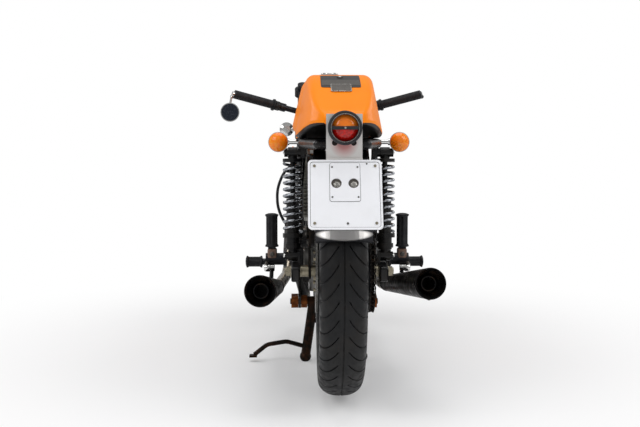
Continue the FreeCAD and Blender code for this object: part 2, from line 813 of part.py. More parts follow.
def crankcase():
    """Main casing with round side covers and a pocket for the chain."""
    outline = [(case_front_y, 270), (case_front_y, case_top - 4), (-780, case_top), (case_rear_y, 408),
               (case_rear_y, 232), (case_rear_y + 40, case_bottom), (-606, case_bottom)]
    body = rounded_yz(outline, 20, -case_half, case_half)
    body = soften(body, 10, lambda e: e.Length > 60 and abs(abs(e.CenterOfMass.x) - case_half) < 1)
    covers = [cover(-1, -590, 300, 78, case_half - 1, 20), cover(-1, -775, 318, 88, case_half - 1, 14),
              cover(1, -662, 300, 92, case_half - 1, 16), cover(1, -866, 372, 44, case_half - 1, 10)]
    tail = rounded_yz([(case_rear_y + 30, 404), (-946, 396), (-958, 262), (case_rear_y + 30, 214)], 16, -76, 70)
    deck = slab(92, barrel_y - 72, barrel_y + 72, case_top - 12, case_top, 20)
    filter_can = rod(V(0, case_front_y - 10, 300), V(0, case_front_y + 42, 300), 36)
    room = Part.Face(chain_loop(10)).extrude(V(18, 0, 0)).translated(V(chain_x - 9, 0, 0))
    drive = rod(V(69, gearbox_y, gearbox_z), V(chain_x + 6, gearbox_y, gearbox_z), pitch_radius(gearbox_teeth) - 6.8)
    made = join(body, *covers, tail, deck, filter_can).cut(room)
    return join(max(made.Solids, key=lambda solid: solid.Volume), drive)


def fins(first, count, half_x, half_y, radius):
    return [slab(half_x, barrel_y - half_y, barrel_y + half_y, first + k * fin_pitch,
                 first + k * fin_pitch + fin_thickness, radius) for k in range(count)]


def barrel_top():
    return case_top + 8 + barrel_fins * fin_pitch


def cylinders():
    """Twin finned barrels."""
    parts = [slab(94, barrel_y - 66, barrel_y + 66, case_top, case_top + 8, 20)]
    parts += fins(case_top + 8 + fin_pitch - fin_thickness, barrel_fins, fin_half_x, fin_half_y, 26)
    for side in (-1, 1):
        parts.append(rod(V(side * bore_spread, barrel_y, case_top), V(side * bore_spread, barrel_y, barrel_top()),
                         barrel_radius + 6))
    return join(*parts)


def cylinder_head():
    """Finned head with ports and a domed cover for each camshaft."""
    base = barrel_top()
    parts = [slab(96, barrel_y - 68, barrel_y + 68, base, base + 62, 18)]
    parts += fins(base + 4, head_fins, fin_half_x, fin_half_y, 24)
    parts.append(slab(84, barrel_y - 58, barrel_y + 58, base + 60, base + 84, 24))
    for y in (barrel_y - 34, barrel_y + 34):
        parts.append(rod(V(-80, y, base + 92), V(80, y, base + 92), 22))
    for side in (-1, 1):
        parts.append(rod(V(side * port_x, barrel_y + 60, port_z), V(side * port_x, barrel_y + 97, port_z), 25))
        parts.append(rod(V(side * bore_spread, barrel_y - 60, port_z), V(side * bore_spread, barrel_y - 84, port_z), 22))
        parts.append(rod(V(side * bore_spread, barrel_y, base + 80), V(side * bore_spread, barrel_y, base + 108), 15))
    return join(*parts)


def carburettors():
    """A carburettor for each cylinder, with bowls, caps and bell mouths."""
    start, end = barrel_y - 84, -864.0
    parts = [rod(V(-bore_spread, start - 50, port_z + 12), V(bore_spread, start - 50, port_z + 12), 5)]
    for side in (-1, 1):
        at = V(side * bore_spread, start, port_z)
        parts += [rod(at, at - Y_AXIS * 30, 24), rod(at - Y_AXIS * 28, at - Y_AXIS * 82, 21),
                  rod(at + V(0, -55, -46), at + V(0, -55, 0), 23), rod(at + V(0, -55, 0), at + V(0, -55, 48), 17),
                  rod(at + V(0, -55, 42), at + V(0, -55, 54), 20),
                  cone(at - Y_AXIS * 80, V(at.x, end, at.z), 21, 31)]
    return join(*parts)


def air_box():
    """Closed box behind the carburettors."""
    made = slab(84, -1040, -864, 548, air_box_top, 16)
    return soften(made, 8, lambda e: abs(e.CenterOfMass.z - air_box_top) < 1)


# Exhaust


def silencer_axis(side):
    if side < 0:
        return left_silencer_front, left_silencer_rear
    return right_silencer_front, right_silencer_rear


def header(side):
    """Pipe from the port, down past the frame and back to the silencer."""
    front, rear = silencer_axis(side)
    neck = front + (front - rear).normalize() * 75
    points = [V(side * port_x, barrel_y + 97, port_z), V(side * port_x, -440, port_z), V(side * 128, -474, 330),
              V(side * 154, -590, 212), neck, front]
    made = bent(points[:5], header_radius, 52)
    last = rod(neck, front, header_radius)
    start = points[0]
    flange = rod(start, start + Y_AXIS * 10, 30)
    knuckle = Part.makeSphere(header_radius, neck)
    return join(made, knuckle, last, flange)


def silencer(side):
    """Tapered megaphone with a recessed cone and an outlet ring."""
    front, rear = silencer_axis(side)
    back = (rear - front).normalize()
    neck_end = front + back * 46
    shell = [cone(front, neck_end, header_radius + 3, silencer_front_radius),
             cone(neck_end, rear, silencer_front_radius, silencer_rear_radius),
             rod(front, front + back * 14, header_radius + 6)]
    made = join(*shell)
    floor = rear - back * silencer_recess
    dish = cone(floor, rear, silencer_mouth_radius - 2, silencer_rear_radius - 3)
    bore = rod(floor - back * 60, floor, silencer_mouth_radius - 4)
    ring = pipe(floor - back * 4, rear - back * 22, silencer_mouth_radius, silencer_mouth_radius - 3)
    return join(made.cut([dish, bore]), ring)


# Tank, seat and side covers


def tank_body():
    """The tank's outer form, lofted from front to rear."""
    full, low, high = tank_half, tank_bottom, tank_top
    sections = [(tank_front_y + 5, full - 96, full - 106, low + 72, high - 92, 14, 18),
                (tank_front_y, full - 80, full - 94, low + 58, high - 78, 18, 26),
                (-426, full - 50, full - 72, low + 32, high - 40, 24, 40),
                (-500, full - 12, full - 54, low + 6, high - 8, 28, 60),
                (-600, full, full - 50, low, high, 30, 66),
                (-700, full - 4, full - 54, low, high - 9, 30, 62),
                (-800, full - 20, full - 64, low, high - 42, 28, 52),
                (-868, full - 42, full - 74, low + 3, high - 92, 24, 36),
                (tank_rear_y, full - 62, full - 84, low + 16, high - 124, 16, 20)]
    return Part.makeLoft([hoop(*section) for section in sections], True, False)


def tunnel(gap):
    """Space over the backbone that the tank straddles."""
    start, rear = fork(0, head_high - 62), backbone_rear()
    ahead = (start - rear).normalize() * 60
    radius = backbone_radius + gap
    top = rod(start + ahead, rear, radius)
    outline = [((start + ahead).y, (start + ahead).z), (rear.y, rear.z), (rear.y, rear.z - 120),
               ((start + ahead).y, rear.z - 120)]
    return top.fuse(plate_yz(outline, -radius, radius))


def cap_seat_z():
    return tank_top + 3


def fuel_tank():
    """Tank that straddles the backbone, with a flat boss for its cap."""
    boss = rod(V(0, cap_y, tank_top - 20), V(0, cap_y, cap_seat_z()), cap_radius + 3)
    return tank_body().fuse(boss).cut(tunnel(tunnel_gap))


def filler_cap():
    """Hinged round cap."""
    at = V(0, cap_y, cap_seat_z())
    ring = rod(at, at + Z_AXIS * 5, cap_radius + 2)
    dome = soften(rod(at + Z_AXIS * 5, at + Z_AXIS * 11, cap_radius - 4), 3,
                  lambda e: abs(e.CenterOfMass.z - at.z - 11) < 0.1)
    hinge = rod(at + V(-9, cap_radius - 3, 8), at + V(9, cap_radius - 3, 8), 4)
    return join(ring, dome, hinge)


def cowl_body():
    top, low, full = cowl_top, seat_base_z, cowl_half
    sections = [(cowl_rear_y, full - 70, full - 78, low + 37, top - 120, 6, 8),
                (-1690, full - 48, full - 62, low + 34, top - 100, 10, 14),
                (-1640, full - 30, full - 48, low + 27, top - 76, 12, 20),
                (-1560, full - 14, full - 40, low + 14, top - 38, 12, 24),
                (-1460, full - 3, full - 36, low + 3, top - 7, 12, 26),
                (-1385, full, full - 34, low, top, 12, 28),
                (-1325, full, full - 36, low, top - 14, 12, 30),
                (cowl_front_y, full - 2, full - 42, low, top - 52, 12, 30)]
    return Part.makeLoft([hoop(*section) for section in sections], True, False)


def seat_cowl():
    """Tail hump with the seat's base pan in one moulding, arched over the wheel."""
    front = tank_rear_y - 10
    pan = [V(-84, front, seat_base_z), V(84, front, seat_base_z), V(seat_half - 4, front - 130, seat_base_z),
           V(seat_half, cowl_front_y - 30, seat_base_z), V(-seat_half, cowl_front_y - 30, seat_base_z),
           V(-seat_half + 4, front - 130, seat_base_z)]
    base = Part.Face(rounded(pan, [14] * 6)).extrude(V(0, 0, 8))
    arch = turned([(-84, 0), (-84, guard_radius + 18), (84, guard_radius + 18), (84, 0)], rear_axle)
    return join(cowl_body(), base).cut(arch)


def seat_pad():
    """Cushion between tank and hump."""
    low = seat_base_z + 8 + seat_gap
    front = tank_rear_y - 12
    rear = cowl_front_y + seat_gap
    full = seat_half
    sections = [(front, full - 44, full - 52, low, seat_top - 34, 6, 8),
                (front - 30, full - 24, full - 34, low, seat_top - 8, 8, 16),
                (front - 150, full - 8, full - 20, low, seat_top, 8, 20),
                (rear + 90, full - 2, full - 16, low, seat_top + 3, 8, 20),
                (rear, full - 4, full - 24, low, seat_top + 16, 8, 18)]
    return Part.makeLoft([hoop(*section) for section in sections], True, False)


def side_cover(side):
    """Panel below the seat with a shallow raised field."""
    start = upright_x + main_tube_radius + seat_gap
    outline = [(-896, 560), (-910, 536), (-1078, 531), (-1108, 600), (-1080, 676), (-900, 680)]
    field = [(-916, 566), (-1062, 560), (-1086, 604), (-1066, 656), (-914, 658)]
    x0, x1 = sorted((side * start, side * (start + 4)))
    y0, y1 = sorted((side * (start + 3.5), side * (start + 7)))
    return join(rounded_yz(outline, 14, x0, x1), rounded_yz(field, 14, y0, y1))


# Tail


def on_plate(shape):
    """Set a shape drawn upright, top edge at the origin and face towards -Y, at the plate's place and slant."""
    made = shape.copy()
    made.rotate(V(0, 0, 0), X_AXIS, -plate_tilt)
    return made.translated(V(0, plate_top_y, plate_top_z))


def plate_field(half, low, high, y0, y1, radius):
    corners = [V(half, y0, low), V(half, y0, high), V(-half, y0, high), V(-half, y0, low)]
    return Part.Face(rounded(corners, [radius] * 4)).extrude(V(0, y1 - y0, 0))


def number_plate():
    """Blank square plate with a raised border, an inner panel and its screw holes."""
    half = plate_side / 2
    base = plate_field(half, -plate_side, 0, 0, plate_thickness, 10)
    border = plate_field(half, -plate_side, 0, -1.2, 0, 10).cut(
        plate_field(half - 5, -plate_side + 5, -5, -2, 1, 7))
    panel = plate_field(panel_width / 2, -panel_drop - panel_height, -panel_drop, -1.6, 0, 5)
    holes = []
    middle = -plate_side / 2
    for side in (-1, 1):
        for up in (-1, 1):
            at = V(side * plate_hole_pitch / 2, -5, middle + up * plate_hole_pitch / 2)
            holes.append(rod(at, at + Y_AXIS * 10, plate_hole_radius))
        at = V(side * panel_hole_pitch / 2, -5, panel_hole_z)
        holes.append(rod(at, at + Y_AXIS * 10, panel_hole_radius))
    return on_plate(join(base, border, panel).cut(holes))


def lamp_bracket():
    """Sheet that reaches back from the frame's loop to the lamp and the plate."""
    wide, sheet = bracket_half, bracket_sheet
    strap_top = rail_z - rail_radius - seat_gap
    upright_y = lamp_y + 46
    strap = block(-wide, wide, upright_y, rail_rear_y + 15, strap_top - sheet, strap_top)
    upright = block(-wide, wide, upright_y, upright_y + sheet, 662, lamp_z + 34)
    back = plate_thickness + seat_gap
    slope = on_plate(block(-wide, wide, back, back + sheet, -130, 6))
    tie = block(-wide, wide, plate_top_y + 2, upright_y + sheet, 662, 665)
    holes = [rod(V(side * 23, upright_y - 5, 702), V(side * 23, upright_y + 10, 702), 7) for side in (-1, 1)]
    return join(strap, upright, slope, tie).cut(holes)


def tail_lamp():
    """Round lamp body with its ring and middle bar."""
    at = V(0, lamp_y, lamp_z)
    front = lamp_y + 46 - seat_gap
    body = rod(V(0, front, lamp_z), at + Y_AXIS * 9, lamp_radius - 5)
    ring = pipe(at + Y_AXIS * 10, at - Y_AXIS * 4, lamp_radius, lamp_radius - 5)
    seat = rod(at + Y_AXIS * 10, at + Y_AXIS * 8, lamp_radius)
    bar = block(-lamp_radius + 3, lamp_radius - 3, lamp_y - 7, lamp_y + 9, lamp_z - 2.5, lamp_z + 2.5)
    return join(body, ring, seat, bar)


def tail_lenses():
    """Upper and lower halves of the domed lens."""
    at = V(0, lamp_y + 8 - fit_gap, lamp_z)
    whole = dome(at, Y_AXIS * -1, lamp_radius - 5 - fit_gap, 16)
    upper = whole.common(block(-60, 60, lamp_y - 40, lamp_y + 20, lamp_z + 2.8, lamp_z + 60))
    lower = whole.common(block(-60, 60, lamp_y - 40, lamp_y + 20, lamp_z - 60, lamp_z - 2.8))
    return [upper, lower]


def indicator(at, facing, side, reach):
    """Cup with its stalk to a carrier on the machine's side, and the lens."""
    back = facing * -1
    cup = join(cone(at, at + back * 24, indicator_radius - 1, 15), rod(at, at + facing * 4, indicator_radius),
               rod(at + back * 12 - X_AXIS * side * 14, at + back * 12 - X_AXIS * side * reach, stalk_radius),
               rod(at + back * 12 - X_AXIS * side * 22, at + back * 12 - X_AXIS * side * 30, 9))
    return cup, dome(at + facing * (4 + fit_gap), facing, indicator_radius - 1.5, 15)


def rear_indicators():
    cups, lenses = [], []
    for side in (-1, 1):
        at = V(side * indicator_x, indicator_y, indicator_z)
        cup, lens = indicator(at, Y_AXIS * -1, side, indicator_x - rail_x)
        rail = rod(V(side * rail_x, -1000, rail_z), V(side * rail_x, -1500, rail_z), rail_radius + fit_gap)
        cups.append(cup.cut(rail))
        lenses.append(lens)
    return cups, lenses


# Brakes and chain guard at the rear


def rear_caliper():
    """Caliper over the disc on a plate that hangs on the axle's spacer."""
    disc_outer = -rear_disc_x - disc_thickness
    x0, x1 = disc_outer - 17, -rear_disc_x + 11
    low, high = rear_axle.z + 78, rear_axle.z + rear_disc_radius + 18
    body = block(x0, x1, -1482, -1416, low, high)
    body = soften(body, 5, lambda e: e.CenterOfMass.z > high - 1 or runs_along(Z_AXIS)(e))
    slot = turned([(disc_outer - pad_gap, 0), (disc_outer - pad_gap, rear_disc_radius + 4),
                   (-rear_disc_x + pad_gap, rear_disc_radius + 4), (-rear_disc_x + pad_gap, 0)], rear_axle)
    hanger = rounded_yz([(-1488, 328), (-1432, 328), (-1422, low + 14), (-1476, low + 14)], 10, x0 - 2, x0 + 5)
    bore = rod(rear_axle - X_AXIS * 120, rear_axle, axle_spacer_radius + fit_gap)
    pots = rod(V(x0 + 1, -1449, low + 28), V(x0 - 7, -1449, low + 28), 19)
    return join(body.cut(slot), hanger, pots).cut(bore)


def cord_wire(points):
    """Straight runs joined by tangent arcs, each as large as its two runs allow."""
    edges, start = [], points[0]
    for before, corner, after in zip(points, points[1:], points[2:]):
        back, on = before - corner, after - corner
        half_turn = (math.pi - back.getAngle(on)) / 2
        bend = 0.45 * min(back.Length, on.Length) / math.tan(half_turn)
        first, middle, last = corner_arc(before, corner, after, bend)
        print("hose arc radius", round(bend, 1))
        edges += [line(start, first), Part.Arc(first, middle, last).toShape()]
        start = last
    edges.append(line(start, points[-1]))
    return Part.Wire(edges)


def hose_points():
    return [V(-126, -1288, 636), V(-154, -1322, 612), V(-172, -1348, 566), V(-170, -1362, 512),
            V(-146, -1370, 464), V(-104, -1360, 442), V(-72, -1376, 456), V(-72, -1415.7, 456)]


def rear_brake_hose():
    """Hose from its clip on the stay, out past the left shock and in to the caliper."""
    points = hose_points()
    section = Part.Wire([Part.makeCircle(hose_radius, points[0], points[1] - points[0])])
    return cord_wire(points).makePipeShell([section], True, False)


def hose_clip():
    """Socket on the left stay that holds the hose's upper end."""
    end, following = hose_points()[:2]
    into = (end - following).normalize()
    return join(rod(end + into * 0.2, end + into * 16, 7), rod(end + into * 14, V(-108, -1288, 637), 5))


def chain_guard():
    """Folded strip above the upper run of the chain, on a post from the right arm."""
    drop = 3.0
    front, rear = V(0, -1062, 452), V(0, -1462, 492)
    tail = V(0, -1540, 466)
    outline = [(p.y, p.z) for p in (front, rear, tail)] + [(p.y, p.z - drop) for p in (tail, rear, front)]
    strip = plate_yz(outline, chain_x - 11, chain_x + 11)
    side = [(p.y, p.z) for p in (front, rear, tail)] + [(tail.y, tail.z - 20), (rear.y, rear.z - 20),
                                                       (front.y, front.z - 20)]
    skirt = plate_yz(side, chain_x + 9, chain_x + 11)
    post_y = -1250.0
    arm_top = pivot_z + arm_height / 2 + (pivot_y - post_y) * -0.0790
    post = block(chain_x + 9, arm_inner + 10, post_y - 8, post_y + 8, arm_top + 6, arm_top + 9)
    leg = block(arm_inner + 4, arm_inner + 10, post_y - 8, post_y + 8, arm_top - 22, arm_top + 9)
    rise = block(chain_x + 9, chain_x + 12, post_y - 8, post_y + 8, arm_top + 6, 452)
    arm = swingarm_envelope()
    return join(strip, skirt, post, leg.cut(arm), rise)


def swingarm_envelope():
    """The right arm's outline, grown by the fit gap."""
    half = arm_height / 2 + fit_gap
    end_y, end_z = rear_axle.y - arm_overrun, rear_axle.z - 3
    outline = [(pivot_y, pivot_z + half), (end_y, end_z + half), (end_y, end_z - half), (pivot_y, pivot_z - half)]
    return plate_yz(outline, arm_inner - fit_gap, arm_inner + arm_width + fit_gap)


# Footrests


def silencer_envelope(side):
    front, rear = silencer_axis(side)
    back = (rear - front).normalize()
    return join(cone(front + back * 46, rear, silencer_front_radius + fit_gap, silencer_rear_radius + fit_gap),
                rod(front, front + back * 47, silencer_front_radius + fit_gap))


def footrest_set(side):
    """Hanger plate, rider's and passenger's peg cores and the silencer's strap of one side."""
    outline = [(-944, 436), (-985, 440), (pillion_y - 18, 386), (pillion_y - 18, 345), (-1135, 306),
               (-1085, 306), (-956, 400)]
    x0, x1 = sorted((side * hanger_inner, side * (hanger_inner + hanger_thickness)))
    plate = rounded_yz(outline, 9, x0, x1)
    window = rounded_yz([(-1150, 392), (-1260, 376), (-1258, 356), (-1150, 338)], 8, x0 - 1, x1 + 1)
    face = side * (hanger_inner + hanger_thickness)

    def out(x, y, z):
        return V(side * x, y, z)
    parts = [plate.cut(window),
             rod(out(gusset_face(), -958, 424), out(hanger_inner + 1, -958, 424), 8),
             rod(out(gusset_face(), -986, 426), out(hanger_inner + 1, -986, 426), 8),
             rod(V(face - side, pillion_y, pillion_z), out(pillion_x + 18, pillion_y, pillion_z), 16.5),
             block(*sorted((side * (pillion_x - 11), side * (pillion_x + 11))), pillion_y - 9, pillion_y + 9,
                   pillion_z, pillion_low - fit_gap),
             rod(out(pillion_x, pillion_y, pillion_z), out(pillion_x, pillion_y, pillion_high - 2), 8),
             rod(V(face - side, rider_y, rider_z), out(rider_outer - 3, rider_y, rider_z), 8),
             rod(V(face - side, rider_y, rider_z), out(rider_inner - fit_gap, rider_y, rider_z), 10)]
    front, rear = silencer_axis(side)
    share = (front.y - pillion_y) / (front.y - rear.y)
    below = front + (rear - front) * share
    strap = rod(out(pillion_x, pillion_y, pillion_z - 8), below, 6).cut(silencer_envelope(side))
    return join(*parts, max(strap.Solids, key=lambda solid: solid.CenterOfMass.z))


def ribbed_peg(start, end):
    """Rubber sleeve with a flange at each end."""
    along = (end - start).normalize()
    parts = [rod(start, end, peg_radius), rod(start, start + along * 6, peg_radius + 4),
             rod(end - along * 6, end, peg_radius + 4)]
    reach = (end - start).Length
    parts += [rod(start + along * d, start + along * (d + 4), peg_radius + 1.6)
              for d in (reach * 0.2, reach * 0.4, reach * 0.6, reach * 0.8)]
    return join(*parts).cut(rod(start - along, end - along * 2, 8 + fit_gap))


def peg_rubbers():
    made = []
    for side in (-1, 1):
        made.append(ribbed_peg(V(side * pillion_x, pillion_y, pillion_low), V(side * pillion_x, pillion_y, pillion_high)))
        made.append(ribbed_peg(V(side * rider_inner, rider_y, rider_z), V(side * rider_outer, rider_y, rider_z)))
    return made


# Front end


def fork_block(x0, x1, up0, up1, ahead0, ahead1):
    """A block square to the steering axis."""
    corners = [fork(x0, up0, ahead0), fork(x0, up0, ahead1), fork(x0, up1, ahead1), fork(x0, up1, ahead0)]
    return polygon(corners).extrude(V(x1 - x0, 0, 0))


def leg_rod(x, up0, up1, radius):
    return rod(fork(x, up0, fork_offset), fork(x, up1, fork_offset), radius)


def yoke(up, stem_boss):
    """One fork bridge between the steering stem and both legs."""
    top = up + yoke_thickness
    parts = [fork_block(-leg_spread, leg_spread, up, top, fork_offset - 18, fork_offset + 14),
             fork_block(-44, 44, up, top, 8, fork_offset), rod(fork(0, up), fork(0, top), stem_boss)]
    bores = []
    for side in (-1, 1):
        parts.append(leg_rod(side * leg_spread, up, top, stanchion_radius + 11))
        bores.append(leg_rod(side * leg_spread, up - 1, top + 1, stanchion_radius + fit_gap))
    return join(*parts), bores


def yokes():
    """Both fork bridges joined by the steering stem."""
    low, low_bores = yoke(head_low - bearing_gap - yoke_thickness, head_radius - 2)
    high, high_bores = yoke(head_high + bearing_gap, head_radius)
    top = head_high + bearing_gap + yoke_thickness
    stem = rod(fork(0, head_low - 20), fork(0, top), stem_radius)
    cap = rod(fork(0, top), fork(0, top + 8), 17)
    return join(low, high, stem, cap).cut(low_bores + high_bores)


def fork_leg(side):
    """Slider and stanchion with the axle lug, caliper lug and mudguard lug."""
    x = side * leg_spread
    lug = rod(front_axle + V(side * (leg_spread - 17), 0, 0), front_axle + V(side * (leg_spread + 17), 0, 0), 21)
    inner = side * (leg_spread - slider_radius)
    caliper_face = side * (front_disc_x + disc_thickness + 11.0)
    made = join(leg_rod(x, 17, slider_length, slider_radius), leg_rod(x, slider_length - 22, slider_length, slider_radius + 3),
                leg_rod(x, slider_length - 5, stanchion_top, stanchion_radius), lug,
                leg_rod(x, stanchion_top - 12, stanchion_top, stanchion_radius - 3),
                fork_block(*sorted((caliper_face, x)), 82, 118, 8, fork_offset - 8),
                fork_block(*sorted((side * (front_guard_half + seat_gap), inner + side * 4)), 302, 326,
                           fork_offset - 8, fork_offset + 8))
    bore = rod(front_axle - X_AXIS * 150, front_axle + X_AXIS * 150, front_axle_radius + fit_gap)
    return made.cut(bore)


def front_axle_set():
    """Axle, its end nuts and the spacers beside the hub."""
    outer = leg_spread + 17 + fit_gap
    made = [rod(front_axle - X_AXIS * (outer + 12), front_axle + X_AXIS * (outer + 12), front_axle_radius)]
    for side in (-1, 1):
        made.append(nut(front_axle + V(side * outer, 0, 0), side, 13, 9))
        made.append(rod(front_axle + V(side * (front_disc_x + fit_gap), 0, 0),
                        front_axle + V(side * (leg_spread - 17 - fit_gap), 0, 0), 14))
    return join(*made)


def front_caliper(side):
    """Caliper behind the leg, over the disc."""
    inner = front_disc_x - 9
    outer = front_disc_x + disc_thickness + 11.0 - fit_gap
    centre = fork_offset - 62
    body = fork_block(*sorted((side * inner, side * outer)), 62, 134, centre - 26, centre + 26)
    body = soften(body, 5, runs_along(X_AXIS))
    pad0, pad1 = front_disc_x - pad_gap, front_disc_x + disc_thickness + pad_gap
    x0, x1 = sorted((side * pad0, side * pad1))
    reach = front_disc_radius + 4
    slot = turned([(x0, 0), (x0, reach), (x1, reach), (x1, 0)], front_axle)
    return body.cut(slot)


def front_mudguard():
    """Short crowned blade over the front tyre."""
    steps = 6
    outer, inner = [], []
    for k in range(-steps, steps + 1):
        share = k / steps
        sag = front_guard_crown * share * share
        outer.append(V(front_guard_half * share, front_guard_radius + guard_wall - sag, 0))
        inner.append(V(front_guard_half * share, front_guard_radius - sag, 0))
    face = polygon([front_axle + p for p in outer + inner[::-1]])
    face.rotate(front_axle, X_AXIS, front_guard_start)
    return face.revolve(front_axle, X_AXIS, front_guard_end - front_guard_start)


def headlamp():
    """Round shell with its rim and two ears clamped to the legs."""
    at = V(0, headlamp_y, headlamp_z)
    radius = headlamp_radius
    shell = rod(at - Y_AXIS * 34, at, radius - 4)
    back = dome(at - Y_AXIS * 33, Y_AXIS * -1, radius - 4, 56)
    rim_ring = rod(at - Y_AXIS * 3, at + Y_AXIS * 12, radius)
    recess = rod(at + Y_AXIS * 6, at + Y_AXIS * 13, radius - 7)
    parts = [shell, back, rim_ring.cut(recess)]
    bores = []
    up = head_low + 32
    for side in (-1, 1):
        x = side * leg_spread
        parts.append(leg_rod(x, up - 10, up + 10, stanchion_radius + 4))
        bores.append(leg_rod(x, up - 90, up + 90, stanchion_radius + fit_gap))
        leg = fork(x, up, fork_offset)
        x0, x1 = sorted((side * (radius + 2), side * (radius + 6)))
        ear = [(leg.y, leg.z - 3), (leg.y, leg.z + 17), (headlamp_y - 8, headlamp_z + 12),
               (headlamp_y - 8, headlamp_z - 12)]
        parts.append(rounded_yz(ear, 8, x0, x1))
        parts.append(rod(V(side * (radius - 8), headlamp_y - 20, headlamp_z),
                         V(side * (radius + 12), headlamp_y - 20, headlamp_z), 7))
    return join(*parts).cut(bores)


def headlamp_glass():
    return dome(V(0, headlamp_y + 6 + fit_gap, headlamp_z), Y_AXIS, headlamp_radius - 7 - fit_gap, 16)


def clocks():
    """Two round instruments on a plate ahead of the upper bridge."""
    low, high = head_high - 24, head_high + 20
    parts = [fork_block(-58, 58, head_high + 4, head_high + 8, fork_offset + 14 + fit_gap, clock_ahead + 12)]
    faces = []
    for side in (-1, 1):
        x = side * clock_spread
        parts += [rod(fork(x, low, clock_ahead), fork(x, high, clock_ahead), clock_radius),
                  rod(fork(x, low - 12, clock_ahead), fork(x, low + 1, clock_ahead), clock_radius - 14)]
        faces.append(rod(fork(x, high - 3, clock_ahead), fork(x, high + 1, clock_ahead), clock_radius - 5))
    return join(*parts).cut(faces)


def bar_line(side):
    """Clamp centre, start, end and direction of one handlebar."""
    clamp = fork(side * leg_spread, bar_clamp_at, fork_offset)
    end = V(side * bar_end.x, bar_end.y, bar_end.z)
    return clamp, end, (end - clamp).normalize()


def along_bar(side, x):
    """The point of the bar's centre line at a distance x from the centre plane."""
    clamp, end, out = bar_line(side)
    return clamp + out * ((x - leg_spread) / abs(out.x))


def lever_side(out):
    """Unit vector square to the bar that points ahead of it."""
    ahead = Y_AXIS + Z_AXIS * -0.15
    return (ahead - out * out.dot(ahead)).normalize()


def clip_on(side):
    """Half handlebar: clamp on the leg, bar, lever perch and lever."""
    clamp, end, out = bar_line(side)
    ahead = lever_side(out)
    ring = leg_rod(side * leg_spread, bar_clamp_at - 14, bar_clamp_at + 14, stanchion_radius + 8)
    bore = leg_rod(side * leg_spread, bar_clamp_at - 20, bar_clamp_at + 20, stanchion_radius + fit_gap)
    bar = rod(clamp + out * 15, end, bar_radius)
    perch = along_bar(side, grip_inner - 32)
    mount_ring = rod(perch - out * 11, perch + out * 11, bar_radius + 5)
    neck = rod(perch, perch + ahead * 40, 9)
    tip = along_bar(side, bar_end.x - 6)
    lever = [perch + ahead * 38, perch + ahead * 44 + out * 34, tip + ahead * 62]
    arm = bent(lever, lever_radius, 30)
    ball = Part.makeSphere(lever_radius + 3, tip + ahead * 62)
    return join(ring, bar, mount_ring, neck, arm, ball).cut(bore)


def grips():
    made = []
    for side in (-1, 1):
        start, end = along_bar(side, grip_inner), along_bar(side, bar_end.x)
        out = bar_line(side)[2]
        body = [rod(start, end + out * 4, grip_radius), rod(start, start + out * 6, grip_radius + 6)]
        made.append(join(*body).cut(rod(start - out, end + out * fit_gap, bar_radius + fit_gap)))
    return made


def mirror():
    """Round bar-end mirror below the left grip."""
    end = along_bar(-1, bar_end.x)
    out = bar_line(-1)[2]
    foot = end + out * (4 + fit_gap)
    plug = rod(foot, foot + out * 9, 9)
    top = mirror_centre + V(0, 7.5, mirror_radius - 6)
    knee = foot + out * 6 + V(-6, 0, -14)
    stalk = [rod(foot + out * 5, knee, 4), Part.makeSphere(4, knee), rod(knee, top, 4)]
    shell = rod(mirror_centre, mirror_centre + Y_AXIS * 11, mirror_radius)
    shell = soften(shell, 7, lambda e: abs(e.CenterOfMass.y - mirror_centre.y - 11) < 0.1)
    recess = rod(mirror_centre - Y_AXIS, mirror_centre + Y_AXIS * 2.5, mirror_radius - 3)
    return join(plug, *stalk, shell.cut(recess))


def mirror_glass():
    at = mirror_centre + Y_AXIS * 0.4
    return rod(at, at + Y_AXIS * 1.8, mirror_radius - 3 - fit_gap)


def front_indicators():
    cups, lenses = [], []
    for side in (-1, 1):
        up = head_low + 9
        leg = fork(side * leg_spread, up, fork_offset)
        at = V(side * (indicator_x - 8), leg.y + 12, leg.z)
        cup, lens = indicator(at, Y_AXIS, side, indicator_x - 8 - leg_spread)
        collar = leg_rod(side * leg_spread, up - 8, up + 8, stanchion_radius + 4)
        bore = leg_rod(side * leg_spread, up - 12, up + 12, stanchion_radius + fit_gap)
        cups.append(join(cup, collar).cut(bore))
        lenses.append(lens)
    return cups, lenses


os.makedirs("parts", exist_ok=True)
rear_cups, rear_amber = rear_indicators()
front_cups, front_amber = front_indicators()

save("frame", frame())
save("seat_rails", seat_rails())
save("swingarm", swingarm())
save("rear_axle", rear_axle_set())
save("shock_dampers", *[shock_damper(side) for side in (-1, 1)])
save("shock_springs", *[shock_spring(side) for side in (-1, 1)])
save("rear_tyre", tyre(rear_axle, rear_tyre_radius, rear_tyre_width, rear_rim_half))
save("rear_wheel", rear_wheel())
save("rear_disc", rear_disc())
save("sprocket", sprocket())
save("chain", chain())
save("chain_guard", chain_guard())
save("rear_caliper", rear_caliper())
save("rear_brake_hose", rear_brake_hose())
save("rear_mudguard", rear_mudguard())
save("centre_stand", centre_stand())
save("stand_brackets", *stand_brackets())
save("crankcase", crankcase())
save("cylinders", cylinders())
save("cylinder_head", cylinder_head())
save("carburettors", carburettors())
save("air_box", air_box())
save("header_pipes", *[header(side) for side in (-1, 1)])
save("silencers", *[silencer(side) for side in (-1, 1)])
save("fuel_tank", fuel_tank())
save("filler_cap", filler_cap())
save("seat_cowl", seat_cowl())
save("seat_pad", seat_pad())
save("side_covers", *[side_cover(side) for side in (-1, 1)])
save("number_plate", number_plate())
save("lamp_bracket", lamp_bracket())
save("tail_lamp", tail_lamp())
save("tail_lenses", *tail_lenses())
save("rear_indicators", *rear_cups)
save("rear_indicator_lenses", *rear_amber)
save("footrests", *[footrest_set(side) for side in (-1, 1)])
save("peg_rubbers", *peg_rubbers())
save("yokes", yokes())
save("fork_legs", *[fork_leg(side) for side in (-1, 1)])
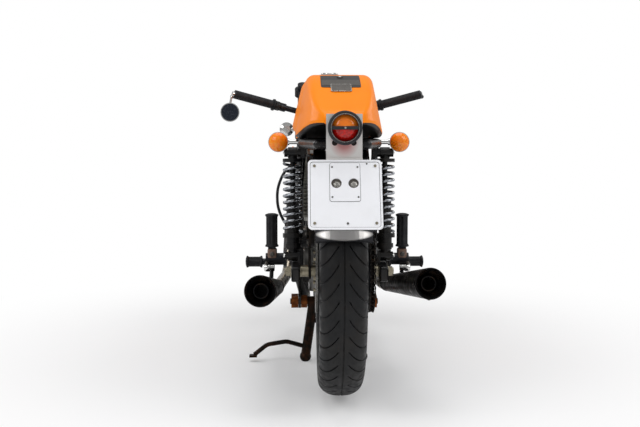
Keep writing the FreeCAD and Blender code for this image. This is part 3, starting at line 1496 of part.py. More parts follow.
save("front_axle", front_axle_set())
save("front_tyre", tyre(front_axle, front_tyre_radius, front_tyre_width, front_rim_half))
save("front_wheel", front_wheel())
save("front_discs", *front_discs())
save("front_calipers", *[front_caliper(side) for side in (-1, 1)])
save("front_mudguard", front_mudguard())
save("headlamp", headlamp())
save("headlamp_glass", headlamp_glass())
save("clocks", clocks())
save("clip_ons", *[clip_on(side) for side in (-1, 1)])
save("grips", *grips())
save("mirror", mirror())
save("mirror_glass", mirror_glass())
save("front_indicators", *front_cups)
save("front_indicator_lenses", *front_amber)
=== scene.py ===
"""Cafe racer motorcycle: finishes, tread, chain links, fasteners and seat around its fixed frame.

Lengths are in millimetres where a name or comment says so and in metres elsewhere. +X is the rider's right,
+Y is forward, +Z is up, and the origin is where the front tyre touches the floor.
"""
import bpy
import bmesh
import math
from mathutils import Matrix, Vector


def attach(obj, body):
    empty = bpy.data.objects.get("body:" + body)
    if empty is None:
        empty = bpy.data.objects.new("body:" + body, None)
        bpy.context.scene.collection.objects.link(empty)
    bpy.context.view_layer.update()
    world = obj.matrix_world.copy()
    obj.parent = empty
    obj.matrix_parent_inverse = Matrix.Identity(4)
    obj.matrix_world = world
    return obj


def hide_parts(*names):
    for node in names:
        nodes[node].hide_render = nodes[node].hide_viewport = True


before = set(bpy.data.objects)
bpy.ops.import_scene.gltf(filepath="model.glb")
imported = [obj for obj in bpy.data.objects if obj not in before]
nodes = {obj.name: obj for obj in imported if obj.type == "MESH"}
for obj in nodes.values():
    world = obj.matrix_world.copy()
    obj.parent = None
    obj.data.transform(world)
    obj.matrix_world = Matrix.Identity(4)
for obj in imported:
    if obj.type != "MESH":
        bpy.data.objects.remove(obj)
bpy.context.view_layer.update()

MM = 0.001
DOWN = Vector((0, 0, -1))

# Places that the frame fixes, in metres
FRONT_AXLE = Vector((0.0, 0.0, 0.318))
REAR_AXLE = Vector((0.0, -1.46, 0.348))
STEER_TILT = math.radians(28)
STEER_UP = Vector((0.0, -math.sin(STEER_TILT), math.cos(STEER_TILT)))
STEER_AHEAD = Vector((0.0, math.cos(STEER_TILT), math.sin(STEER_TILT)))
FORK_OFFSET = 0.052
FORK_X = 95
TAIL_LAMP = Vector((0.0, -1.800, 0.738))

# Where the photograph was taken from, and through what lens
CAMERA_AT = Vector((-0.110, -4.170, 0.733))
CAMERA_YAW = 1.214
CAMERA_PITCH = 4.786
FOCAL_PIXELS = 997.7
PICTURE_WIDTH = 640
SENSOR = 36.0

# Where painted highlights, a painted reflection and painted shade lie on a finish, and where heat tints one,
# in metres
GUARD_HIGHLIGHT_HEIGHT = 0.481
GUARD_HIGHLIGHT_REACH = (0.068, 0.013)
BRACKET_REFLECTION_AT = (0, -1.757, 0.700)
BRACKET_REFLECTION_FADE = (0.012, 0.036)
STRAW_HEIGHTS = (0.45, 0.60)
BLUE_HEIGHTS = (0.58, 0.63)
PAINTED_SHADE_NORMAL = -0.35


# Colour and shader helpers


def linear(code):
    """An sRGB hex colour as linear red, green, blue and alpha."""
    shares = [int(code[i:i + 2], 16) / 255 for i in (0, 2, 4)]
    return [c / 12.92 if c <= 0.04045 else ((c + 0.055) / 1.055) ** 2.4 for c in shares] + [1.0]


def add(tree, kind, settings=None, **sockets):
    """Add one node. settings are its own properties; sockets are values or links into its inputs."""
    node = tree.nodes.new(kind)
    for name, value in (settings or {}).items():
        setattr(node, name, value)
    for name, value in sockets.items():
        key = int(name[1:]) if name[0] == "i" and name[1:].isdigit() else name.replace("_", " ")
        if isinstance(value, bpy.types.NodeSocket):
            tree.links.new(value, node.inputs[key])
        else:
            node.inputs[key].default_value = value
    return node


def surface(name, colour, rough, metal=0.0, **more):
    """A new material with its plain values on the shader's own sockets."""
    made = bpy.data.materials.new(name)
    made.use_nodes = True
    shader = made.node_tree.nodes["Principled BSDF"]
    shader.inputs["Base Color"].default_value = linear(colour)
    shader.inputs["Roughness"].default_value = rough
    shader.inputs["Metallic"].default_value = metal
    for key, value in more.items():
        shader.inputs[key.replace("_", " ")].default_value = value
    return made


def cloud(made, grain, low=0.35, high=0.65, detail=3.0, stretch=(1, 1, 1)):
    """Soft blotches about grain millimetres across, as a share from 0 to 1."""
    tree = made.node_tree
    place = add(tree, "ShaderNodeTexCoord").outputs["Object"]
    held = add(tree, "ShaderNodeMapping", Vector=place, Scale=stretch).outputs["Vector"]
    blot = add(tree, "ShaderNodeTexNoise", Vector=held, Scale=1 / (grain * MM), Detail=detail)
    return add(tree, "ShaderNodeMapRange", Value=blot.outputs["Fac"], From_Min=low,
               From_Max=high).outputs["Result"]


def tint(made, share, other, strength=1.0):
    """Let another colour show through the base colour by a share."""
    tree = made.node_tree
    shader = tree.nodes["Principled BSDF"]
    socket = shader.inputs["Base Color"]
    blend = add(tree, "ShaderNodeMix", {"data_type": "RGBA"})
    weight = add(tree, "ShaderNodeMath", {"operation": "MULTIPLY"}, i0=share, i1=strength).outputs[0]
    tree.links.new(weight, blend.inputs["Factor"])
    if socket.is_linked:
        tree.links.new(socket.links[0].from_socket, blend.inputs["A"])
    else:
        blend.inputs["A"].default_value = socket.default_value
    blend.inputs["B"].default_value = linear(other)
    tree.links.new(blend.outputs["Result"], socket)
    return made


def roughen(made, share, low, high):
    """Let the roughness run from low to high by a share."""
    tree = made.node_tree
    spread = add(tree, "ShaderNodeMapRange", Value=share, To_Min=low, To_Max=high).outputs["Result"]
    tree.links.new(spread, tree.nodes["Principled BSDF"].inputs["Roughness"])
    return made


def dent(made, share, depth, strength=1.0):
    """Raise the surface by a share, depth in millimetres."""
    tree = made.node_tree
    socket = tree.nodes["Principled BSDF"].inputs["Normal"]
    bump = add(tree, "ShaderNodeBump", Height=share, Distance=depth * MM, Strength=strength)
    if socket.is_linked:
        tree.links.new(socket.links[0].from_socket, bump.inputs["Normal"])
    tree.links.new(bump.outputs["Normal"], socket)
    return made


def height_share(made, low, high):
    """0 below one height of the object and 1 above another, in metres."""
    tree = made.node_tree
    place = add(tree, "ShaderNodeTexCoord").outputs["Object"]
    z = add(tree, "ShaderNodeSeparateXYZ", Vector=place).outputs["Z"]
    return add(tree, "ShaderNodeMapRange", Value=z, From_Min=low, From_Max=high).outputs["Result"]


# Finishes


def enamel(name, colour, dust):
    """Sprayed two-pack enamel under clear coat: deep gloss, faint orange peel, large soft patches of a deeper
    orange, thinly laid.
    """
    made = surface(name, colour, 0.45, Coat_Weight=0.12, Coat_Roughness=0.07, IOR=1.5,
                   Specular_IOR_Level=0.08)
    # the colour passed as dust is a deeper orange, laid thinly in large soft patches
    tint(made, cloud(made, 90, 0.5, 0.8), dust, 0.18)
    return dent(made, cloud(made, 2.2, 0.2, 0.8), 0.02, 0.12)


def enamel_with_painted_shade_below(name, colour, dust):
    """The same enamel on the hump, with painted shade: every face that turns down is tinted near black."""
    made = enamel(name, colour, dust)
    tree = made.node_tree
    spot = add(tree, "ShaderNodeNewGeometry")
    facing = add(tree, "ShaderNodeSeparateXYZ", Vector=spot.outputs["Normal"]).outputs["Z"]
    # painted shade on faces that turn down
    below = add(tree, "ShaderNodeMath", {"operation": "LESS_THAN"}, i0=facing,
                i1=PAINTED_SHADE_NORMAL).outputs[0]
    return tint(made, below, "0E0D0D", 1.0)


def stove_enamel():
    """Black stove enamel on tubes: satin gloss with road dust and dull patches."""
    made = surface("stove_enamel_black", "101012", 0.3, IOR=1.5, Coat_Weight=0.3, Coat_Roughness=0.2,
                   Specular_IOR_Level=0.2)
    tint(made, cloud(made, 55, 0.45, 0.75), "3A352F", 0.5)
    roughen(made, cloud(made, 35), 0.25, 0.55)
    return dent(made, cloud(made, 1.6, 0.3, 0.7), 0.03, 0.2)


def engine_casting():
    """Sand-cast aluminium, wire brushed: grey, pitted, with dark oily patches."""
    made = surface("sand_cast_aluminium", "8F8E8B", 0.42, 1.0)
    tint(made, cloud(made, 60, 0.45, 0.72), "4A443C", 0.7)
    roughen(made, cloud(made, 12), 0.32, 0.6)
    return dent(made, cloud(made, 1.4, 0.3, 0.7), 0.12, 0.45)


def finned_casting():
    """Bead-blasted fins: matt mid grey with darker patches."""
    made = surface("bead_blasted_aluminium", "76756F", 0.55, 1.0)
    tint(made, cloud(made, 26, 0.4, 0.7), "3B3733", 0.6)
    return dent(made, cloud(made, 1.0, 0.3, 0.7), 0.06, 0.4)


def brushed_stainless():
    """Brushed stainless sheet: fine streaks along the sheet, soft wide highlights."""
    made = surface("brushed_stainless", "A8A5A1", 0.34, 1.0)
    streak = cloud(made, 1.5, 0.25, 0.75, 2, (6, 0.25, 0.25))
    tint(made, streak, "8C8883", 0.45)
    roughen(made, streak, 0.2, 0.42)
    return dent(made, streak, 0.01, 0.1)


def guard_steel():
    """Polished guard steel with painted reflections: its base colour is painted dark for the tyre and the
    tail above that it would mirror, and a painted highlight lies on its rear lip.
    """
    made = surface("guard_steel_painted_reflections", "1B1B1D", 0.3, 0.9)
    tree = made.node_tree
    place = add(tree, "ShaderNodeTexCoord").outputs["Object"]
    axes = add(tree, "ShaderNodeSeparateXYZ", i0=place).outputs
    half_wide, half_high = GUARD_HIGHLIGHT_REACH
    across = add(tree, "ShaderNodeMath", {"operation": "DIVIDE"}, i0=axes["X"], i1=half_wide).outputs[0]
    upward = add(tree, "ShaderNodeMath", {"operation": "SUBTRACT"}, i0=axes["Z"],
                 i1=GUARD_HIGHLIGHT_HEIGHT).outputs[0]
    upward = add(tree, "ShaderNodeMath", {"operation": "DIVIDE"}, i0=upward, i1=half_high).outputs[0]
    both = add(tree, "ShaderNodeCombineXYZ", X=across, Y=upward).outputs[0]
    reach = add(tree, "ShaderNodeVectorMath", {"operation": "LENGTH"}, i0=both).outputs["Value"]
    # painted highlight: a bright ellipse over the rear lip
    lip = add(tree, "ShaderNodeMapRange", Value=reach, From_Min=1.05, From_Max=0.8).outputs[0]
    return tint(made, lip, "B9B7B4", 1.0)


def bracket_sheet():
    """Bright folded sheet behind the lamp, with a painted reflection of the red lens softly just below it."""
    made = surface("bracket_sheet_painted_red_reflection", "F2EFEC", 0.34, 0.85)
    tree = made.node_tree
    place = add(tree, "ShaderNodeTexCoord").outputs["Object"]
    # painted reflection: red laid on the sheet close under the lamp, fading off with distance
    away = add(tree, "ShaderNodeVectorMath", {"operation": "DISTANCE"}, i0=place, i1=BRACKET_REFLECTION_AT)
    near = add(tree, "ShaderNodeMapRange", Value=away.outputs["Value"], From_Min=BRACKET_REFLECTION_FADE[0],
               From_Max=BRACKET_REFLECTION_FADE[1], To_Min=1.0, To_Max=0.0)
    return tint(made, near.outputs["Result"], "C01510", 0.65)


def bright_chrome():
    """Plated steel: mirror bright with the first rust pits."""
    made = surface("bright_chrome", "D9D9D7", 0.08, 1.0)
    tint(made, cloud(made, 7, 0.62, 0.72, 6), "6B5442", 0.7)
    return roughen(made, cloud(made, 20, 0.4, 0.8), 0.07, 0.22)


def spring_plate():
    """Chrome on the coils, its base painted a darker blue grey as a painted reflection of dark surroundings;
    oily in random patches.
    """
    made = surface("spring_chrome_painted_dark_reflection", "A3A6AB", 0.12, 1.0)
    tint(made, cloud(made, 9, 0.5, 0.72, 6), "2A2622", 0.7)
    return roughen(made, cloud(made, 14), 0.1, 0.3)


def satin_trim():
    """Satin plated trim, its roughness varying in patches."""
    made = surface("satin_plated_trim", "B9B7B2", 0.24, 1.0)
    return roughen(made, cloud(made, 6), 0.18, 0.36)


def dull_screw_plate():
    """Dull dark plating on small screws, brown where it has gone."""
    made = surface("dull_screw_plate", "6A6763", 0.38, 1.0)
    return tint(made, cloud(made, 3, 0.45, 0.7), "3E3026", 0.6)


def heat_tinted_chrome():
    """Header pipe plating: straw and blue near the port, grey road film in patches."""
    made = surface("heat_tinted_chrome", "A59C8E", 0.16, 1.0)
    tint(made, height_share(made, *STRAW_HEIGHTS), "8A6A3A", 0.8)
    tint(made, height_share(made, *BLUE_HEIGHTS), "4A5578", 0.85)
    tint(made, cloud(made, 40, 0.45, 0.7), "5B5147", 0.45)
    return roughen(made, cloud(made, 25), 0.12, 0.35)


def heat_paint():
    """Heat-proof black on the silencers: semi gloss with brown, thin spots."""
    made = surface("heat_proof_black", "0A0A0B", 0.36, IOR=1.5, Specular_IOR_Level=0.14)
    tint(made, cloud(made, 30, 0.5, 0.72, 6), "3A2A1E", 0.55)
    roughen(made, cloud(made, 22), 0.26, 0.5)
    return dent(made, cloud(made, 1.8, 0.3, 0.7), 0.04, 0.25)


def oily_steel(name, colour, rust):
    """Forged steel under old oil: brown black, rust in patches."""
    made = surface(name, colour, 0.5, 0.85)
    tint(made, cloud(made, 18, 0.45, 0.68, 6), rust, 0.75)
    roughen(made, cloud(made, 10), 0.35, 0.7)
    return dent(made, cloud(made, 1.2, 0.3, 0.7), 0.08, 0.4)


def zinc_plate():
    """Yellowed zinc plate on axles and spacers: satin, grey brown."""
    made = surface("zinc_plate", "A8A08C", 0.3, 1.0)
    tint(made, cloud(made, 16, 0.5, 0.75, 5), "6A5A45", 0.5)
    return roughen(made, cloud(made, 8), 0.25, 0.5)


def satin_black_alloy():
    """Black anodised alloy: satin, greyed at its faces."""
    made = surface("black_anodised_alloy", "25262A", 0.38, 0.7)
    tint(made, cloud(made, 20, 0.5, 0.75), "55534F", 0.5)
    return dent(made, cloud(made, 1.0, 0.3, 0.7), 0.03, 0.2)


def moulded_rubber(name, colour):
    """Moulded rubber: dull black with a bloom of dust."""
    made = surface(name, colour, 0.62, IOR=1.52, Specular_IOR_Level=0.24)
    tint(made, cloud(made, 25, 0.45, 0.75), "3F3F40", 0.35)
    roughen(made, cloud(made, 9), 0.5, 0.75)
    return dent(made, cloud(made, 0.9, 0.3, 0.7), 0.04, 0.25)


def tread_rubber():
    """Tyre compound: charcoal with a scrubbed sheen, brown dust in patches."""
    made = surface("tyre_compound", "0B0C0E", 0.55, IOR=1.52, Specular_IOR_Level=0.26)
    tint(made, cloud(made, 60, 0.45, 0.78), "2A2520", 0.45)
    roughen(made, cloud(made, 14), 0.36, 0.58)
    return dent(made, cloud(made, 0.9, 0.3, 0.7), 0.05, 0.3)


def plate_paint():
    """White stove enamel on the plate: cool white, slightly dusty."""
    made = surface("plate_white_enamel", "FAFBFF", 0.38, IOR=1.5, Coat_Weight=0.4, Coat_Roughness=0.15)
    return tint(made, cloud(made, 45, 0.5, 0.85), "DADADC", 0.2)


def lens(name, colour, deep):
    """Moulded acrylic lens over a reflector: glossy skin, prisms that show as brighter cells."""
    made = surface(name, colour, 0.12, IOR=1.49, Specular_IOR_Level=0.2, Coat_Weight=0.5,
                   Coat_Roughness=0.03)
    tree = made.node_tree
    place = add(tree, "ShaderNodeTexCoord").outputs["Object"]
    cells = add(tree, "ShaderNodeTexVoronoi", Vector=place, Scale=1 / (6 * MM)).outputs["Distance"]
    tint(made, cells, deep, 0.9)
    return dent(made, cells, 0.3, 0.25)


def two_lenses():
    """Tail lamp acrylic: amber above the middle bar, red below it, with prisms moulded inside."""
    made = lens("amber_and_red_acrylic", "8C0806", "D81810")
    tree = made.node_tree
    tree.nodes["Principled BSDF"].inputs["Subsurface Weight"].default_value = 0.1
    place = add(tree, "ShaderNodeTexCoord").outputs["Object"]
    z = add(tree, "ShaderNodeSeparateXYZ", Vector=place).outputs["Z"]
    above = add(tree, "ShaderNodeMath", {"operation": "GREATER_THAN"}, i0=z, i1=TAIL_LAMP.z).outputs[0]
    return tint(made, above, "F07A1E")


def clear_glass():
    """Pressed lamp glass: clear with upright flutes."""
    made = surface("pressed_glass", "F4F8FA", 0.03, IOR=1.5, Transmission_Weight=1.0)
    tree = made.node_tree
    place = add(tree, "ShaderNodeTexCoord").outputs["Object"]
    flute = add(tree, "ShaderNodeTexWave", {"bands_direction": "X"}, Vector=place, Scale=22.0)
    return dent(made, flute.outputs["Fac"], 0.6, 0.5)


def dark_mirror():
    """Silvered glass painted dark blue grey, a painted reflection of dark surroundings; dusty."""
    made = surface("silvered_glass_painted_dark", "3A3E48", 0.12, 1.0)
    tint(made, cloud(made, 5, 0.5, 0.7, 6), "6A6D75", 0.5)
    return roughen(made, cloud(made, 6), 0.1, 0.3)


def grained_cover():
    """Black seat cover: fine pebble grain, dull sheen."""
    made = surface("grained_seat_cover", "17171A", 0.52, IOR=1.48, Sheen_Weight=0.2, Sheen_Roughness=0.5)
    tree = made.node_tree
    place = add(tree, "ShaderNodeTexCoord").outputs["Object"]
    pebble = add(tree, "ShaderNodeTexVoronoi", Vector=place, Scale=1 / (2.5 * MM)).outputs["Distance"]
    tint(made, cloud(made, 50, 0.45, 0.8), "2C2B2A", 0.5)
    return dent(made, pebble, 0.25, 0.5)


def moulded_black(name, colour, rough):
    """Injection moulded black: fine spark texture."""
    made = surface(name, colour, rough, IOR=1.46)
    tint(made, cloud(made, 40, 0.5, 0.8), "3C3C3C", 0.3)
    return dent(made, cloud(made, 0.8, 0.3, 0.7), 0.03, 0.3)


def tick_paint():
    """Printed dial paint: warm white, a little worn."""
    made = surface("dial_tick_paint", "E8E8E2", 0.5)
    return roughen(made, cloud(made, 4), 0.44, 0.56)


def lamp_silvering():
    """Vacuum-silvered reflector: mirror bright with a faint haze."""
    made = surface("silvered_reflector", "E2E4E6", 0.06, 1.0)
    return roughen(made, cloud(made, 15), 0.05, 0.08)


def ground_steel():
    """Ground stainless disc: grey, with finer scoring in patches."""
    made = surface("ground_disc_steel", "8D8C88", 0.3, 1.0)
    tint(made, cloud(made, 12, 0.5, 0.7, 5), "5C4A3C", 0.4)
    return roughen(made, cloud(made, 3), 0.22, 0.42)


ORANGE = enamel("orange_enamel", "FF8A00", "F06A08")
HUMP = enamel_with_painted_shade_below("orange_enamel_painted_shade_below", "FF8A00", "F06A08")
BLACK = stove_enamel()
CASTING = engine_casting()
FINS = finned_casting()
STAINLESS = brushed_stainless()
GUARD = guard_steel()
CHROME = bright_chrome()
HEADER = heat_tinted_chrome()
SILENCER = heat_paint()
OILY = oily_steel("oiled_chain_steel", "1B1917", "33281F")
STAND = oily_steel("forged_stand_steel", "17130F", "3E2416")
RUST = oily_steel("rusted_steel", "6A3A1C", "A8642E")
ZINC = zinc_plate()
ALLOY = satin_black_alloy()
RUBBER = moulded_rubber("ribbed_rubber", "1A1B1E")
TREAD = tread_rubber()
PLATE = plate_paint()
AMBER = lens("amber_acrylic", "FF7208", "FFA428")
TWO_LENSES = two_lenses()
GLASS = clear_glass()
MIRROR = dark_mirror()
COVER = grained_cover()
PLASTIC = moulded_black("moulded_black", "1B1B1C", 0.5)
LAMP = moulded_black("lamp_ring_grey", "4A4A4B", 0.45)
DISC = ground_steel()
SPRING = spring_plate()
SHADE_LINE_PAINT = moulded_black("painted_shade_line_black", "2B2A2C", 0.6)
PANEL = moulded_black("panel_satin_black", "1E1C1C", 0.4)
SATIN_TRIM = satin_trim()
SCREW_DARK = dull_screw_plate()
LAMP_RUBBER = moulded_rubber("lamp_bezel_rubber", "2B2C2F")
CLEVIS = oily_steel("browned_clevis_steel", "8A7468", "5C4438")
BRACKET = bracket_sheet()
THREAD = moulded_black("waxed_thread_black", "26262A", 0.6)
DIAL = moulded_black("dial_matt_black", "0B0B0C", 0.5)
TICKS = tick_paint()
REFLECTOR = lamp_silvering()

DRESS = {
    ORANGE: ("fuel_tank", "side_covers"),
    HUMP: ("seat_cowl",),
    BLACK: ("frame", "seat_rails", "swingarm", "chain_guard", "headlamp", "shock_dampers"),
    CASTING: ("crankcase", "carburettors"),
    FINS: ("cylinders", "cylinder_head"),
    STAINLESS: ("front_mudguard",),
    GUARD: ("rear_mudguard",),
    BRACKET: ("lamp_bracket",),
    CHROME: ("filler_cap", "rear_indicators", "front_indicators", "mirror"),
    SPRING: ("shock_springs",),
    HEADER: ("header_pipes",),
    SILENCER: ("silencers",),
    OILY: ("chain", "sprocket", "rear_caliper"),
    STAND: ("centre_stand",),
    RUST: ("stand_brackets",),
    ZINC: ("rear_axle", "front_axle"),
    ALLOY: ("yokes", "clip_ons", "fork_legs", "front_calipers", "front_wheel", "rear_wheel", "footrests"),
    RUBBER: ("rear_brake_hose", "peg_rubbers", "grips"),
    TREAD: ("front_tyre", "rear_tyre"),
    PLATE: ("number_plate",),
    AMBER: ("rear_indicator_lenses", "front_indicator_lenses"),
    TWO_LENSES: ("tail_lenses",),
    GLASS: ("headlamp_glass",),
    MIRROR: ("mirror_glass",),
    COVER: ("seat_pad",),
    PLASTIC: ("air_box", "clocks"),
    LAMP: ("tail_lamp",),
    DISC: ("front_discs", "rear_disc"),
}


def dress_nodes():
    """Give each piece of the frame its finish."""
    for finish, names in DRESS.items():
        for name in names:
            mesh = nodes[name].data
            mesh.materials.clear()
            mesh.materials.append(finish)


dress_nodes()


# Modelling, by primitives and edit-mode tools

DOUBLES = 0.02 * MM


def clear_selection():
    """Leave edit mode with nothing selected."""
    if bpy.context.object and bpy.context.object.mode != "OBJECT":
        bpy.ops.object.mode_set(mode="OBJECT")
    bpy.ops.object.select_all(action="DESELECT")


def pick(made):
    """Make one object the selected and active one."""
    clear_selection()
    made.select_set(True)
    bpy.context.view_layer.objects.active = made
    return made


def choose(test):
    """Select the vertices of the mesh in edit mode for which test(place) is true."""
    bpy.ops.mesh.select_mode(type="VERT")
    bpy.ops.mesh.select_all(action="DESELECT")
    held = bpy.context.object
    mesh = bmesh.from_edit_mesh(held.data)
    for corner in mesh.verts:
        corner.select_set(bool(test(held.matrix_world @ corner.co)))
    mesh.select_flush(True)
    bmesh.update_edit_mesh(held.data)


def ended():
    """Leave edit mode with the piece's place in its mesh."""
    bpy.ops.object.mode_set(mode="OBJECT")
    bpy.ops.object.transform_apply(location=True, rotation=True, scale=True)
    return bpy.context.object


def drawn(points):
    """Draw one vertex out through points, and stay in edit mode."""
    clear_selection()
    bpy.ops.mesh.primitive_plane_add(size=MM, location=points[0])
    bpy.ops.object.mode_set(mode="EDIT")
    bpy.ops.mesh.select_mode(type="VERT")
    bpy.ops.mesh.select_all(action="SELECT")
    bpy.ops.mesh.merge(type="CENTER")
    for before, after in zip(points, points[1:]):
        bpy.ops.mesh.extrude_vertices_move(TRANSFORM_OT_translate={"value": after - before})


def closed_up():
    """Merge doubles, turn the faces outwards and leave edit mode."""
    bpy.ops.mesh.select_all(action="SELECT")
    bpy.ops.mesh.remove_doubles(threshold=DOUBLES)
    bpy.ops.mesh.normals_make_consistent(inside=False)
    return ended()


def turned(points, centre, axis, steps=32):
    """Draw half a section and spin it a full turn about an axis."""
    drawn(points)
    bpy.ops.mesh.select_all(action="SELECT")
    bpy.ops.mesh.spin(steps=steps, angle=math.tau, center=centre, axis=axis)
    return closed_up()


def cut_sheet(points, depth):
    """Fill a flat outline and draw it out by the vector depth."""
    drawn(points)
    bpy.ops.mesh.select_all(action="SELECT")
    bpy.ops.mesh.edge_face_add()
    bpy.ops.mesh.extrude_region_move(TRANSFORM_OT_translate={"value": depth})
    return closed_up()


def about(at, facing, outline, steps=24):
    """Turn an outline of (radius, height) in millimetres about a point's axis."""
    facing = Vector(facing).normalized()
    aside = facing.orthogonal().normalized()
    points = [Vector(at) + aside * radius * MM + facing * height * MM for radius, height in outline]
    return turned(points, at, facing, steps)


def rounded_bar(points, radius, resolution=6):
    """A round bar along points, as a bevelled curve made a mesh."""
    clear_selection()
    path = bpy.data.curves.new("bar", "CURVE")
    path.dimensions = "3D"
    path.bevel_depth = radius
    path.bevel_resolution = 3
    path.use_fill_caps = True
    line = path.splines.new("NURBS")
    line.points.add(len(points) - 1)
    for knot, place in zip(line.points, points):
        knot.co = (*place, 1)
    line.order_u = 3
    line.use_endpoint_u = True
    path.resolution_u = resolution
    made = bpy.data.objects.new("bar", path)
    bpy.context.scene.collection.objects.link(made)
    pick(made)
    bpy.ops.object.convert(target="MESH")
    return bpy.context.object


def copy_at(made, place):
    """A copy with its own mesh, set by a matrix."""
    twin = made.copy()
    twin.data = made.data.copy()
    twin.data.transform(place)
    bpy.context.scene.collection.objects.link(twin)
    return twin


def facing_matrix(at, facing):
    """Moves what is drawn along Z at the origin to a place, with its Z turned to a way out."""
    turn = Vector(facing).to_track_quat("Z", "Y").to_matrix().to_4x4()
    return Matrix.Translation(Vector(at)) @ turn


def joined(parts):
    """Join objects into the first of them."""
    clear_selection()
    for part in parts:
        part.select_set(True)
    bpy.context.view_layer.objects.active = parts[0]
    if len(parts) > 1:
        bpy.ops.object.join()
    return bpy.context.object


def piece(made, name, finish, body, bend=35):
    """Name a finished piece, give it its finish and let it ride its body."""
    made.name = name
    made.data.name = name
    made.data.materials.clear()
    made.data.materials.append(finish)
    pick(made)
    bpy.ops.object.shade_smooth_by_angle(angle=math.radians(bend))
    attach(made, body)
    return made


# Fasteners, each modelled once at a radius of one millimetre and copied


def hexagon_head():
    """Hexagon with a chamfered top on a round washer."""
    clear_selection()
    bpy.ops.mesh.primitive_cylinder_add(vertices=6, radius=MM, depth=0.65 * MM,
                                        location=(0, 0, 0.475 * MM))
    bpy.ops.object.mode_set(mode="EDIT")
    choose(lambda place: place.z > 0.6 * MM)
    bpy.ops.mesh.bevel(offset=0.14 * MM, segments=1, affect="EDGES")
    head = closed_up()
    washer = about((0, 0, 0), (0, 0, 1), [(0, 0), (1.3, 0), (1.3, 0.12), (1.22, 0.17), (0, 0.17)], 14)
    return joined([head, washer])


def socket_head():
    """Round head with a hexagon socket."""
    clear_selection()
    bpy.ops.mesh.primitive_cylinder_add(vertices=18, radius=MM, depth=1.1 * MM,
                                        location=(0, 0, 0.55 * MM))
    bpy.ops.object.mode_set(mode="EDIT")
    choose(lambda place: place.z > MM)
    bpy.ops.mesh.inset(thickness=0.12 * MM, depth=0.08 * MM)
    bpy.ops.mesh.inset(thickness=0.34 * MM)
    bpy.ops.mesh.extrude_region_move(TRANSFORM_OT_translate={"value": (0, 0, -0.6 * MM)})
    return closed_up()


def domed_nut():
    """Acorn nut: hexagon below, round cap above."""
    clear_selection()
    bpy.ops.mesh.primitive_cylinder_add(vertices=6, radius=MM, depth=0.7 * MM,
                                        location=(0, 0, 0.35 * MM))
    bpy.ops.object.mode_set(mode="EDIT")
    choose(lambda place: place.z > 0.6 * MM)
    bpy.ops.mesh.bevel(offset=0.1 * MM, segments=1, affect="EDGES")
    body = closed_up()
    cap = about((0, 0, 0), (0, 0, 1), [(0.78, 0.6), (0.76, 0.95), (0.6, 1.25), (0.33, 1.43), (0, 1.5)], 14)
    return joined([body, cap])


def slotted_screw():
    """Cheese head with a saw-cut slot."""
    clear_selection()
    bpy.ops.mesh.primitive_cylinder_add(vertices=16, radius=MM, depth=0.5 * MM,
                                        location=(0, 0, 0.25 * MM))
    bpy.ops.object.mode_set(mode="EDIT")
    for side in (-1, 1):
        bpy.ops.mesh.select_all(action="SELECT")
        bpy.ops.mesh.bisect(plane_co=(side * 0.17 * MM, 0, 0), plane_no=(1, 0, 0))
    bpy.ops.mesh.select_mode(type="FACE")
    bpy.ops.mesh.select_all(action="DESELECT")
    held = bmesh.from_edit_mesh(bpy.context.object.data)
    for face in held.faces:
        middle = face.calc_center_median()
        face.select_set(face.normal.z > 0.9 and abs(middle.x) < 0.1 * MM)
    bmesh.update_edit_mesh(bpy.context.object.data)
    bpy.ops.mesh.extrude_region_move(TRANSFORM_OT_translate={"value": (0, 0, -0.2 * MM)})
    return closed_up()


def fastened(pattern, name, finish, body, spots):
    """Copies of one fastener at (place, facing, radius in millimetres), joined as one piece."""
    made = []
    for at, facing, radius in spots:
        made.append(copy_at(pattern, facing_matrix(at, facing) @ Matrix.Scale(radius, 4)))
    return piece(joined(made), name, finish, body)


# Tyres with their tread, in millimetres and degrees

RIM_BEAD = 236.3
RIM_FLANGE_TOP = 250.0
FLANK_TURNS = (38, 52, 66, 78, 88, 98, 108, 117, 126, 134, 142, 149, 155, 161, 166, 170, 173, 176.5, 179.3)
CROWN_GROOVE_HALF = 0.9
CROWN_GROOVE_DEPTH = 2.6
SLANT_INNER_END = 12.0
SLANT_OUTER_SHARE = 0.965
SLANT_SWEEP = 8.6
SLANT_DEPTH = 4.2
SLANT_COLUMNS = (1.0, 1.5, 0.13, 0.75, 0.13)
SLANT_BETWEEN = (2.55, 3.45)
SHOULDER_SHARE = 0.62


def tyre_section(half_width, outer, seat):
    """Points (x, radius) in millimetres from the right bead over the crown to the left bead."""
    middle, half_height = (RIM_FLANGE_TOP + outer) / 2, (outer - RIM_FLANGE_TOP) / 2
    half = [(seat, RIM_BEAD), (seat, RIM_FLANGE_TOP)]
    for turn in FLANK_TURNS:
        angle = math.radians(turn)
        half.append((max(half_width * math.sin(angle) ** 0.8, seat if turn < 45 else 0),
                     middle - half_height * math.cos(angle)))
    crown = [(x, outer - CROWN_GROOVE_DEPTH) for x in (CROWN_GROOVE_HALF, 0.0, -CROWN_GROOVE_HALF)]
    return half + crown + [(-x, radius) for x, radius in reversed(half)]


def groove_sweep(share):
    """How far round a slanted groove has swept, from its inner end (0) to the shoulder (1)."""
    return SLANT_SWEEP * (1 - (1 - min(max(share, 0), 1)) ** 1.5)


def spun_pitch(axle, section, pitch):
    """One pitch of the tyre, spun out of its section in columns, and still in edit mode."""
    drawn([axle + Vector((x, radius, 0)) * MM for x, radius in section])
    bpy.ops.mesh.select_all(action="SELECT")
    last_two = (pitch - sum(SLANT_COLUMNS)) / 2
    for width in (*SLANT_COLUMNS, last_two, last_two):
        bpy.ops.mesh.spin(steps=1, angle=math.radians(width), center=axle, axis=(1, 0, 0))
    bpy.ops.mesh.select_all(action="SELECT")
    bpy.ops.mesh.remove_doubles(threshold=DOUBLES)


